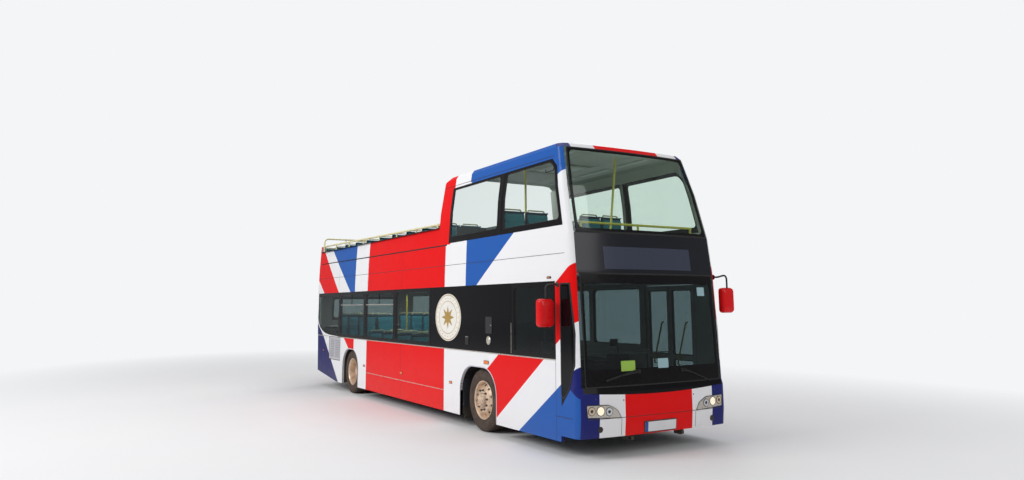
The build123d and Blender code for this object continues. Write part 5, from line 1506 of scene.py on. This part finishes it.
def make_passenger_seats():
    cushion = Pad(0.350, SEAT_PAD_WIDTH - 0.012, 0.050)
    back = Pad(0.500, SEAT_PAD_WIDTH - 0.022, 0.044, SEWN_SPLIT, SEWN_AT)
    lie = Matrix.Rotation(math.radians(-2.4), 4, "Y")
    lean = math.atan2(0.076, 0.51)
    for deck in ("upper", "lower"):
        pads, shells, frames = Form(), Form(), Form()
        for low, high in solid_boxes(f"{deck}_seats"):
            x, floor = low.x + 0.085, high.z - 1.010
            middle = (low.y + high.y) / 2
            for y in (middle - SEAT_HALF, middle + SEAT_HALF):
                for pad, turn in ((cushion, Matrix.Translation((x + 0.212, y, floor + 0.455)) @ lie),
                                  (back, upright(x - 0.012, y, floor + 0.725, lean))):
                    pad.put(pads, turn, "seat_cloth", "seat_piping")
                seat_shell(shells, x, y, floor)
                grab_handle(frames, x, y, floor)
            seat_frame(frames, x, middle, floor, low.z)
        made = pads.piece(f"{deck}_seat_pads", "bus_body", "seat_moquette", [f"{deck}_seats"], 60)
        shells.piece(f"{deck}_seat_shells", "bus_body", "seat_moquette", angle=45)
        frames.piece(f"{deck}_seat_frames", "bus_body", "cab_grey", angle=45)


DRIVER_SHELL = ((0.41, 0.790), (0.42, 0.775), (0.02, 0.775), (-0.06, 0.80), (-0.085, 1.00), (-0.105, 1.38),
                (-0.09, 1.41), (-0.075, 1.39), (-0.055, 1.00), (-0.03, 0.83), (0.02, 0.795))
BELLOWS_FOLDS = 14
BELLOWS_TOP = 0.765
BASE_HEIGHT = 0.06


def make_driver_seat():
    low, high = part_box("driver_seat")
    x, y = low.x + 0.110, (low.y + high.y) / 2
    pads, shell = Form(), Form()
    for pad, turn in (
            (Pad(0.42, 0.47, 0.085), Matrix.Translation((x + 0.215, y, 0.835)) @ Matrix.Rotation(-0.05, 4, "Y")),
            (Pad(0.54, 0.45, 0.075, SEWN_SPLIT, SEWN_AT), upright(x - 0.004, y, 1.135, 0.14)),
            (Pad(0.145, 0.29, 0.075), upright(x - 0.055, y, 1.478, 0.12))):
        pad.put(pads, turn, "seat_dark", "rubber")
    made = pads.piece("driver_seat_pads", "bus_body", "seat_moquette", ["driver_seat"], 60)
    for offset in (-0.06, 0.06):
        tube(shell, ((x - 0.035, y + offset, 1.36), (x - 0.058, y + offset, 1.46)), 0.007, "bright_metal", 8)
    solid(shell, [[(x + u, y + side, v) for u, v in DRIVER_SHELL] for side in (-0.235, -0.225, 0.225, 0.235)],
          "dark_trim")
    bellows = []
    for k in range(BELLOWS_FOLDS + 1):
        grown = 0.0 if k % 2 else -0.018
        z = low.z + BASE_HEIGHT + (BELLOWS_TOP - low.z - BASE_HEIGHT) * k / BELLOWS_FOLDS
        edge = outline(rectangle((x + 0.06 - grown, x + 0.34 + grown), (y - 0.17 - grown, y + 0.17 + grown)),
                       0.05, 4, UNDIVIDED)
        bellows.append([(*p, z) for p in edge])
    solid(shell, bellows, "rubber")
    block(shell, (x + 0.03, y - 0.20, low.z), (x + 0.37, y + 0.20, low.z + BASE_HEIGHT), "chassis", 0.008)
    for side in SIGNS:
        arm_y = y + side * 0.262
        block(shell, (x - 0.01, arm_y - 0.025, 1.02), (x + 0.30, arm_y + 0.025, 1.075), "dark_trim", 0.018)
        tube(shell, ((x - 0.02, y + side * 0.235, 0.99), (x + 0.02, arm_y, 1.03)), 0.014, "dark_trim", 8)
    shell.piece("driver_seat_frame", "bus_body", "black_plastic", angle=45)


make_passenger_seats()
make_driver_seat()


# Wheel arches in the side panels: axle x, rear and front edge from it, height of the top; room for the steered wheel
ARCHES = ((FRONT_AXLE_X, -0.634, 0.542, 0.962, 1.12), (REAR_AXLE_X, -0.490, 0.560, 0.955, 1.0))
ARCH_CORNER = 0.400
ARCH_FOOT = 0.185
CORNER_STEPS = 12
LEG_STEPS = 5
LINING_HALF = 0.596
LINING_Y = (1.05, 0.66)
LIP_DEPTHS = (0.001, 0.040)


def arch_edge(axle_x, rear, front, top, grown=0.0):
    """Points (x, z) of an arch's edge from its rear foot to its front foot."""
    low, high = axle_x + rear - grown, axle_x + front + grown
    radius, crown = ARCH_CORNER + grown, top + grown
    rise = crown - radius - ARCH_FOOT
    points = [(low, ARCH_FOOT + rise * k / LEG_STEPS) for k in range(LEG_STEPS)]
    for middle_x, start in ((low + radius, math.pi), (high - radius, math.pi / 2)):
        for k in range(CORNER_STEPS + 1):
            t = start - math.pi / 2 * k / CORNER_STEPS
            points.append((middle_x + radius * math.cos(t), crown - radius + radius * math.sin(t)))
    return points + [(high, crown - radius - rise * k / LEG_STEPS) for k in range(1, LEG_STEPS + 1)]


def make_arches():
    """Folded lips round the wheel arches and the dark linings behind them."""
    form = Form()
    for side in SIGNS:
        for *arch, wider in ARCHES:
            axle_x = arch[0]
            found = [on_side(side)(x, z) for x, z in arch_edge(*arch, 0.008)]
            strip(form, found, "grille_paint", 0.016, 0.0035)
            skin_y = [abs(point.y) for point, _ in found]
            folds = [[(x, side * (y - deep), z) for (x, z), y in zip(arch_edge(*arch, grown), skin_y)]
                     for grown, depths in ((0.0, LIP_DEPTHS), (0.003, LIP_DEPTHS[::-1])) for deep in depths]
            rings(form, folds, "grille_paint", closed=False)
            inner = [(axle_x + min(max((x - axle_x) * wider, -LINING_HALF), LINING_HALF), z + 0.004)
                     for x, z in arch_edge(*arch, 0.003)]
            linings = [[(x, side * y, z) for x, z in inner] for y in LINING_Y]
            rings(form, [folds[2], *linings], "rubber", closed=False)
    form.piece("arch_linings", "bus_body", "black_plastic")


# Round fittings: profile, finish and sides
LATCH = (((0.012, 0.0), (0.012, 0.008), (0.008, 0.010), (0.0, 0.010)), "bright_metal", 16)
FILLER_CAP = (((0.064, 0.0), (0.064, 0.006), (0.058, 0.010), (0.052, 0.008), (0.046, 0.008), (0.040, 0.014),
               (0.034, 0.017), (0.0, 0.018)), "silver", 32)
TOW_HOLE = (((0.038, 0.0), (0.038, 0.004), (0.032, 0.006), (0.029, 0.002), (0.026, 0.001), (0.0, 0.0012)),
            "rubber", 28)
STUD = (((0.009, 0.0), (0.009, 0.002), (0.005, 0.004), (0.0, 0.004)), "black_plastic", 14)


def make_panel_fittings():
    """Flap, filler cap, vent and cover strip on the driver's side, and small fittings of the nose."""
    form = Form()
    near = ahead_on_side(-1)
    flap = rectangle((0.217, 0.420), (1.483, 1.732))
    plate(form, flap, 0.016, near, "black_plastic", 0.004, spacing=0.06)
    gasket(form, near, flap, 0.016, "rubber", 0.008, 0.006, 0.05)
    boss(form, near(0.395, 1.61), *LATCH)
    boss(form, near(0.316, 1.380), *FILLER_CAP)
    plate(form, rectangle((-0.452, -0.342), (1.290, 1.422)), 0.010, near, "black_plastic", 0.006, spacing=0.05)
    for level in (1.312, 1.334, 1.356, 1.378):
        line(form, near, ((-0.438, level), (-0.356, level)), "rubber", 0.008, 0.004, out=0.005)
    line(form, near, ((-0.445, 1.412), (-0.349, 1.412)), "silver", 0.010, 0.009)
    line(form, near, ((0.990, 1.225), (0.990, 1.650)), "silver", 0.008, 0.004)
    for side in SIGNS:
        turn = Matrix.Translation(ahead_on_side(side)(2.00, 2.270)[0])
        for half, finish, soft in (((0.050, 0.012, 0.016), "black_plastic", 0.008),
                                   ((0.034, 0.016, 0.009), "lens_amber", 0.006)):
            block(form, [-h for h in half], half, finish, soft, turn)
        boss(form, on_front(side * 0.955, 0.358), *TOW_HOLE)
        for y, z in ((0.60, 0.700), (1.02, 0.735)):
            boss(form, on_front(side * y, z), *STUD)
    form.piece("panel_fittings", "bus_body", "black_plastic")


STICKERS = (((-0.600, -0.375), (1.055, 1.185), "sticker_green"), ((0.010, 0.190), (1.070, 1.195), "sticker_pale"),
            ((0.840, 0.985), (2.020, 2.140), "sticker_pale"))


def make_stickers():
    """Blank labels inside the driver's screen."""
    form = Form()
    for y, z, finish in STICKERS:
        plate(form, rectangle(y, z), 0.008, on_front, finish, 0.0030, 0.0016, 0.06)
    form.piece("screen_stickers", "bus_body", "lamp_silver")


# The instrument hood's section, as (forward, up), and its cuts: share of the half width, scale
DASH_X = from_front(2.30)
DRIVER_Y = -0.76
HOOD_SECTION = ((-0.30, -0.06), (-0.31, -0.02), (-0.20, 0.085), (-0.12, 0.115), (-0.02, 0.110), (0.06, 0.060),
                (0.08, 0.000), (0.00, -0.02))
HOOD_CUTS = ((-1.0, 0.55), (-0.97, 0.82), (-0.88, 0.95), (-0.6, 1.0), (0.6, 1.0), (0.88, 0.95), (0.97, 0.82),
             (1.0, 0.55))
HOOD_HALF = 0.30
HOOD_Z = 1.012
DIALS = ((-0.115, 0.058), (0.0, 0.030), (0.115, 0.058))
DIAL_PROFILE = ((1.0, 0.0), (1.0, 0.006), (0.93, 0.010), (0.90, 0.004), (0.0, 0.004))
PEDAL_SECTION = ((0.0, 0.0), (0.09, 0.10), (0.10, 0.115), (0.105, 0.108), (0.012, -0.008))
# Boxes on the dash: x from the dash, y, z, finish, chamfer
DASH_BOXES = (((-0.22, 0.03), (-0.400, -0.180), (1.010, 1.245), "dark_trim", 0.018),
              ((-0.228, -0.218), (-0.375, -0.205), (1.120, 1.225), "screen_black", 0.004),
              ((-0.195, -0.172), (-0.355, -0.225), (1.345, 1.440), "screen_black", 0.006))


def make_cab_details():
    """Instrument hood, dials, switches, ticket machine, selector and pedals round the driver."""
    form = Form()
    solid(form, [[(DASH_X + u * (0.6 + 0.4 * scale), DRIVER_Y + share * HOOD_HALF, HOOD_Z + v * scale)
                  for u, v in HOOD_SECTION] for share, scale in HOOD_CUTS], "dark_trim")
    face = Vector((-0.75, 0, 0.62)).normalized()
    turn = face.to_track_quat("X", "Z").to_matrix().to_4x4()
    for offset, radius in DIALS:
        centre = Vector((DASH_X - 0.262, DRIVER_Y + offset, 1.046))
        turned(form, [(radius * r, out) for r, out in DIAL_PROFILE], centre, "screen_black", face, 28)
        block(form, (-0.002, -0.0015, 0.0), (0.001, 0.0015, radius * 0.72), "yellow", 0.0005,
              Matrix.Translation(centre + face * 0.006) @ turn)
    for k in range(9):
        y = DRIVER_Y - 0.235 + k * 0.055
        block(form, (DASH_X - 0.300, y, 0.975), (DASH_X - 0.286, y + 0.040, 1.000), "black_plastic", 0.004)
    for x, y, z, *how in DASH_BOXES:
        block(form, (DASH_X + x[0], y[0], z[0]), (DASH_X + x[1], y[1], z[1]), *how)
    for row in range(3):
        for column in range(4):
            y, z = -0.368 + column * 0.044, 1.030 + row * 0.028
            block(form, (DASH_X - 0.229, y, z), (DASH_X - 0.219, y + 0.030, z + 0.018), "cab_grey", 0.003)
    tube(form, bend(((DASH_X - 0.10, -0.29, 1.24), (DASH_X - 0.10, -0.29, 1.33), (DASH_X - 0.17, -0.29, 1.38)), 0.03),
         0.009, "black_plastic", 8)
    for y in (-0.95, -0.57):
        tube(form, ((DASH_X - 0.05, y, 0.96), (DASH_X - 0.04, y, 1.030)), 0.030, "rubber", 14)
    for y in (-0.86, -0.66):
        solid(form, [[(from_front(2.04) + u, y + w, 0.395 + v) for u, v in PEDAL_SECTION]
                     for w in (-0.045, -0.04, 0.04, 0.045)], "rubber")
    form.piece("cab_instruments", "bus_body", "cab_grey")


CEILING_BAYS = 9
CEILING_X = (-8.30, 2.05)
STAIRS_X = (1.8, 4.4)
ROOF_BAYS = 3
ROOF_X = (-0.98, 1.86)
ROOF_Z = 4.118
HATCH_HANDLE = ((-0.12, 0.028), (-0.12, 0.070), (0.12, 0.070), (0.12, 0.028))
HATCH_LEVELS = ((1.0, -0.004), (1.0, 0.008), (0.97, 0.018), (0.86, 0.026), (0.5, 0.030))


def bays(ends, count):
    """(start, end) of equal bays between two distances ahead of the front axle, with a small gap round each."""
    start, end = map(from_front, ends)
    pitch = (end - start) / count
    return [(start + k * pitch + 0.004, start + (k + 1) * pitch - 0.004) for k in range(count)]


def make_ceilings():
    """Panelled ceilings with light strips under both roofs, and the escape hatch of the half roof."""
    form = Form()

    def panel(x, y, top, depths, finish, soft):
        block(form, (x[0], y[0], top - depths[0]), (x[1], y[1], top - depths[1]), finish, soft)

    ceiling_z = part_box("upper_floor")[0].z
    for x in bays(CEILING_X, CEILING_BAYS):
        over_stairs = x[1] > STAIRS_X[0] and x[0] < STAIRS_X[1]
        rows = (((0.30, 1.16), 0.43), ((-1.16, -0.30), -0.43))
        panel(x, (-0.28, 0.28), ceiling_z, (0.010, 0.001), "pale_trim", 0.004)
        for y, light_y in rows[:1] if over_stairs else rows:
            panel(x, y, ceiling_z, (0.010, 0.001), "pale_trim", 0.004)
            panel((x[0] + 0.06, x[1] - 0.06), (light_y - 0.055, light_y + 0.055), ceiling_z, (0.030, 0.008),
                  "light_panel", 0.012)
    for k, x in enumerate(bays(ROOF_X, ROOF_BAYS)):
        for y in ((-1.02, -0.36), (0.36, 1.02)):
            middle = sum(y) / 2
            panel(x, y, ROOF_Z, (0.014, 0.003), "pale_trim", 0.005)
            panel((x[0] + 0.08, x[1] - 0.08), (middle - 0.05, middle + 0.05), ROOF_Z, (0.036, 0.012),
                  "light_panel", 0.012)
        if k != ROOF_BAYS // 2:
            panel(x, (-0.35, 0.35), ROOF_Z, (0.014, 0.003), "pale_trim", 0.005)
    hatch_x = sum(map(from_front, ROOF_X)) / 2
    for half, depths, finish in ((0.34, (0.022, 0.003), "pale_trim"), (0.28, (0.030, 0.018), "light_panel")):
        panel((hatch_x - half, hatch_x + half), (-half, half), ROOF_Z, depths, finish, 0.010)
    tube(form, bend([(hatch_x + u, -0.20, ROOF_Z - deep) for u, deep in HATCH_HANDLE], 0.02), 0.008, "rubber", 8)
    top = meet((hatch_x, 0.0, 6), (0, 0, -1))[0].z
    lid = outline(rectangle((-0.37, 0.37), (-0.37, 0.37)), 0.07, 6, 0.2)
    rings(form, [[(hatch_x + u * scale, v * scale, top + out) for u, v in lid] for scale, out in HATCH_LEVELS],
          "livery", cap_end=True)
    form.piece("ceiling_panels", "bus_body", "cab_grey")


DOOR_PANES_Z = ((0.400, 1.080), (1.150, 2.120))


def make_door_details():
    """Seals, glass gaskets and handles of the passenger door; they ride on its leaves."""
    for name in ("front", "rear"):
        low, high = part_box(f"door_leaf_{name}")
        glass_low, glass_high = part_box(f"door_glass_{name}")
        form = Form()

        def on_leaf(x, z, deep=0.001):
            return Vector((x, high.y - deep, z)), Vector(LEFT)

        for foot, top in DOOR_PANES_Z:
            ring = rectangle((glass_low.x + 0.004, glass_high.x - 0.004), (foot + 0.004, top - 0.004))
            edge = [on_leaf(*p, 0.010) for p in outline(ring, 0.03, 4, 0.2)]
            strip(form, edge, "rubber", 0.020, 0.012, closed=True, sunk=0.020)
        for x in (low.x + 0.010, high.x - 0.010):
            strip(form, [on_leaf(x, z) for z in (low.z + 0.03, high.z - 0.03)], "rubber", 0.016, 0.004)
        strip(form, [on_leaf(x, low.z + 0.04) for x in (low.x + 0.02, high.x - 0.02)], "rubber", 0.030, 0.004)
        middle, y = (glass_low.x + glass_high.x) / 2, glass_low.y
        path = bend(((middle - 0.10, y + 0.004, 1.00), (middle - 0.10, y - 0.030, 1.02),
                     (middle + 0.10, y - 0.030, 1.62), (middle + 0.10, y + 0.004, 1.64)), 0.04)
        tube(form, path, 0.013, "yellow", 10)
        form.piece(f"door_fittings_{name}", f"door_{name}_leaf", "black_plastic")


RAIL_X = (-5.5247, 1.475)
RAIL_Z = (3.400, 3.320)
POST_Y, POST_Z = 1.205, 3.246
POSTS = 8
POST_SOCKET = ((0.036, 0.0), (0.036, 0.006), (0.030, 0.010), (0.020, 0.012), (0.018, 0.040), (0.014, 0.042))
TAIL_SOCKET = ((0.038, 0.0), (0.038, 0.006), (0.030, 0.010), (0.022, 0.012), (0.0205, 0.036), (0.019, 0.038))


def make_rail_sockets():
    """Flanged sockets where the posts of the open deck's rails stand."""
    form = Form()
    for side in SIGNS:
        y = side * POST_Y
        for i in range(POSTS):
            x = RAIL_X[0] + 0.1 + (RAIL_X[1] - RAIL_X[0] - 0.2) * i / (POSTS - 1)
            turned(form, POST_SOCKET, (x, y, POST_Z), "cream", UP, 20)
            lathe_bolts(form, (x, y, POST_Z + 0.009), UP, 0.028, 4, 0.004, 0.004, "bright_metal", 0.4)
            z = RAIL_Z[0] + (RAIL_Z[1] - RAIL_Z[0]) * (x - RAIL_X[0]) / (RAIL_X[1] - RAIL_X[0])
            tube(form, ((x - 0.035, y, z + 0.0004), (x + 0.035, y, z - 0.0004)), 0.0225, "cream", 14)
    tail_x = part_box("rear_shell")[0].x + 0.025
    for y in (-1.125, -0.5625, 0.0, 0.5625, 1.125):
        turned(form, TAIL_SOCKET, (tail_x, y, 3.401), "cream", UP, 20)
    form.piece("rail_sockets", "bus_body", "handrail_cream")


# Air tanks: y, x of the middle, length
TANKS = ((0.52, -0.60, 0.9), (-0.52, -0.60, 0.9), (0.52, 0.70, 0.7))
TANK_Z = 0.300
TANK_END = ((0.02, 0.0), (0.085, 0.012), (0.108, 0.040), (0.112, 0.060))
TANK_STRAP = ((0.114, -0.016), (0.118, -0.016), (0.118, 0.016), (0.114, 0.016))
DRIVE_SHAFT = ((0.030, 0.0), (0.060, 0.010), (0.060, 0.030), (0.042, 0.050), (0.042, 0.95), (0.060, 0.97),
               (0.060, 0.99), (0.030, 1.0))
AIR_SPRING = [(0.085 + (0.018 if k % 2 else 0.0), 0.018 * k) for k in range(9)]
BRAKE_CHAMBER = ((0.0, 0.0), (0.070, 0.004), (0.080, 0.020), (0.080, 0.050), (0.072, 0.060), (0.072, 0.100),
                 (0.05, 0.115), (0.0, 0.116))
EXHAUST = ((-4.4, 0.45, 0.52), (-4.9, 0.55, 0.42), (-5.35, 0.62, 0.40), (-5.62, 0.62, 0.40))


def make_underbody():
    """Shaft, air tanks, exhaust, air springs and brake chambers between the frame rails."""
    form = Form()
    for y, x, length in TANKS:
        start = x - length / 2
        profile = TANK_END + tuple((r, length - along) for r, along in reversed(TANK_END))
        turned(form, profile, (start, y, TANK_Z), "tank_grey", AHEAD, 28)
        for share in (0.25, 0.75):
            turned(form, TANK_STRAP, (start + length * share, y, TANK_Z), "chassis", AHEAD, 28, closed=True)
    turned(form, DRIVE_SHAFT, (REAR_AXLE_X - 1.14, 0.0, AXLE_Z + 0.02), "tank_grey", AHEAD, 24)
    for axle_x in (FRONT_AXLE_X, REAR_AXLE_X):
        for y in (-0.44, 0.44):
            turned(form, AIR_SPRING, (axle_x + 0.30, y, 0.42), "rubber", UP, 24)
            turned(form, BRAKE_CHAMBER, (axle_x - 0.30, y, 0.40), "tank_grey", AHEAD, 24)
    tube(form, bend(EXHAUST, 0.15), 0.045, "tank_grey", 16)
    form.piece("underbody_parts", "bus_body", "chassis_black")


# Strips across the tail: height, finish, width, how far they stand out
TAIL_STRIPS = ((0.425, "rubber", 0.070, 0.012), (2.240, "dark_trim", 0.008, 0.002), (2.950, "rubber", 0.016, 0.006))


def make_rear_details():
    """Reflectors, small lamps, bumper strip and seams of the tail, and a dark strip over the edge of the shelf behind
    its window as painted shade.
    """
    form = Form()
    for side in SIGNS:
        place = mirrored(on_rear, side)
        plate(form, rectangle((0.78, 0.94), (0.480, 0.545)), 0.012, place, "lens_red", 0.010, soft=0.12, spacing=0.05)
        plate(form, rectangle((1.02, 1.12), (1.40, 1.455)), 0.010, place, "lens_red", 0.008, soft=0.12, spacing=0.05)
    for y in ((-0.345, -0.255), (0.255, 0.345)):
        plate(form, rectangle(y, (2.500, 2.530)), 0.010, on_rear, "lens_red", 0.010, soft=0.15, spacing=0.05)
    for z, finish, width, height in TAIL_STRIPS:
        line(form, on_rear, ((-1.10, z), (1.10, z)), finish, width, height, 0.08)
    shelf_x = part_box("raised_floor")[0].x
    # A dark trim strip over the shelf's lit front edge: painted shade that keeps this edge dark through the band's rear
    # panes
    block(form, (shelf_x + 0.010, -1.09, 1.352), (shelf_x + 0.034, 1.09, 1.392), "dark_trim", 0.006)
    form.piece("rear_fittings", "bus_body", "black_plastic")


make_arches()
make_panel_fittings()
make_stickers()
make_cab_details()
make_ceilings()
make_door_details()
make_rail_sockets()
make_underbody()
make_rear_details()


# Stage and light
BACKDROP = colour(244, 245, 247)
FLOOR_HALF = 60.0
FLOOR_STEPS = 8


def make_stage():
    """A pale floor that fades into the background's colour away from the bus."""
    shade = Shade("floor")
    tone = shade.mix(shade.noise(0.6, 4.0), colour(232, 232, 233), colour(237, 237, 237))
    away = shade.vector("LENGTH", shade.vector("MULTIPLY", shade.point, (0.55, 1.0, 1.0)))
    path = shade.node("LightPath").outputs
    seen = shade.math("MAXIMUM", path["Is Camera Ray"], path["Is Transmission Ray"])
    bright = shade.fed("Emission", (BACKDROP,)).outputs[0]
    fade = shade.every(shade.ramp(away, 3.2, 11.5), seen)
    shade.done(shade.blend(fade, shade.gloss(tone, 0.8), bright))
    data = bpy.data.meshes.new("floor")
    count = FLOOR_STEPS + 1
    places = [-FLOOR_HALF + 2 * FLOOR_HALF * i / FLOOR_STEPS for i in range(count)]
    corners = [j * count + i for j in range(FLOOR_STEPS) for i in range(FLOOR_STEPS)]
    data.from_pydata([(x, y, 0) for y in places for x in places], [],
                     [(k, k + 1, k + count + 1, k + count) for k in corners])
    data.materials.append(shade.material)
    linked("floor", data)


# Soft boxes: name, place, size, power, aimed at
SOFT_BOXES = (
    ("key", (1.0, -17.0, 11.0), 9.0, 2080, (0.0, 0.0, 1.6)),
    ("front", (17.0, 2.0, 8.0), 8.0, 440, (4.0, 0.0, 1.8)),
    ("top", (0.0, 0.0, 14.0), 10.0, 620, (0.0, 0.0, 2.0)),
    ("back", (-12.0, 14.0, 9.0), 8.0, 800, (0.0, 0.0, 1.6)),
)
# Daylight that reaches the seats of the lower deck: place, size, power
SALOON_LIGHT = ((-1.5, 0.0, 2.12), (5.4, 1.5), 62)
WORLD_DIM = colour(230, 231, 234)
WORLD_POWER = 0.40


def make_lights():
    for name, place, size, power, aim in SOFT_BOXES:
        data = bpy.data.lights.new(name, "AREA")
        data.size = size
        data.energy = power
        box = linked(name, data)
        box.location = place
        box.rotation_euler = (Vector(aim) - Vector(place)).to_track_quat("-Z", "Y").to_euler()
    data = bpy.data.lights.new("saloon", "AREA")
    data.shape = "RECTANGLE"
    place, (data.size, data.size_y), data.energy = SALOON_LIGHT
    box = linked("saloon", data)
    box.location = place
    box.visible_camera = box.visible_glossy = box.visible_transmission = False


def make_world():
    """The background's colour where the camera sees it, and a dimmer one that lights the bus."""
    world = bpy.data.worlds.new("studio")
    scene.world = world
    world.use_nodes = True
    tree = world.node_tree
    tree.nodes.clear()
    path, seen, white, dim, pick, output = (
        tree.nodes.new("ShaderNode" + kind)
        for kind in ("LightPath", "Math", "Background", "Background", "MixShader", "OutputWorld"))
    seen.operation = "MAXIMUM"
    white.inputs[0].default_value = BACKDROP
    dim.inputs[0].default_value = WORLD_DIM
    dim.inputs[1].default_value = WORLD_POWER
    for start, end in ((path.outputs["Is Camera Ray"], seen.inputs[0]),
                       (path.outputs["Is Transmission Ray"], seen.inputs[1]),
                       (seen.outputs[0], pick.inputs[0]), (dim.outputs[0], pick.inputs[1]),
                       (white.outputs[0], pick.inputs[2]), (pick.outputs[0], output.inputs[0])):
        tree.links.new(start, end)
    scene.view_settings.view_transform = "Standard"


make_stage()
make_lights()
make_world()
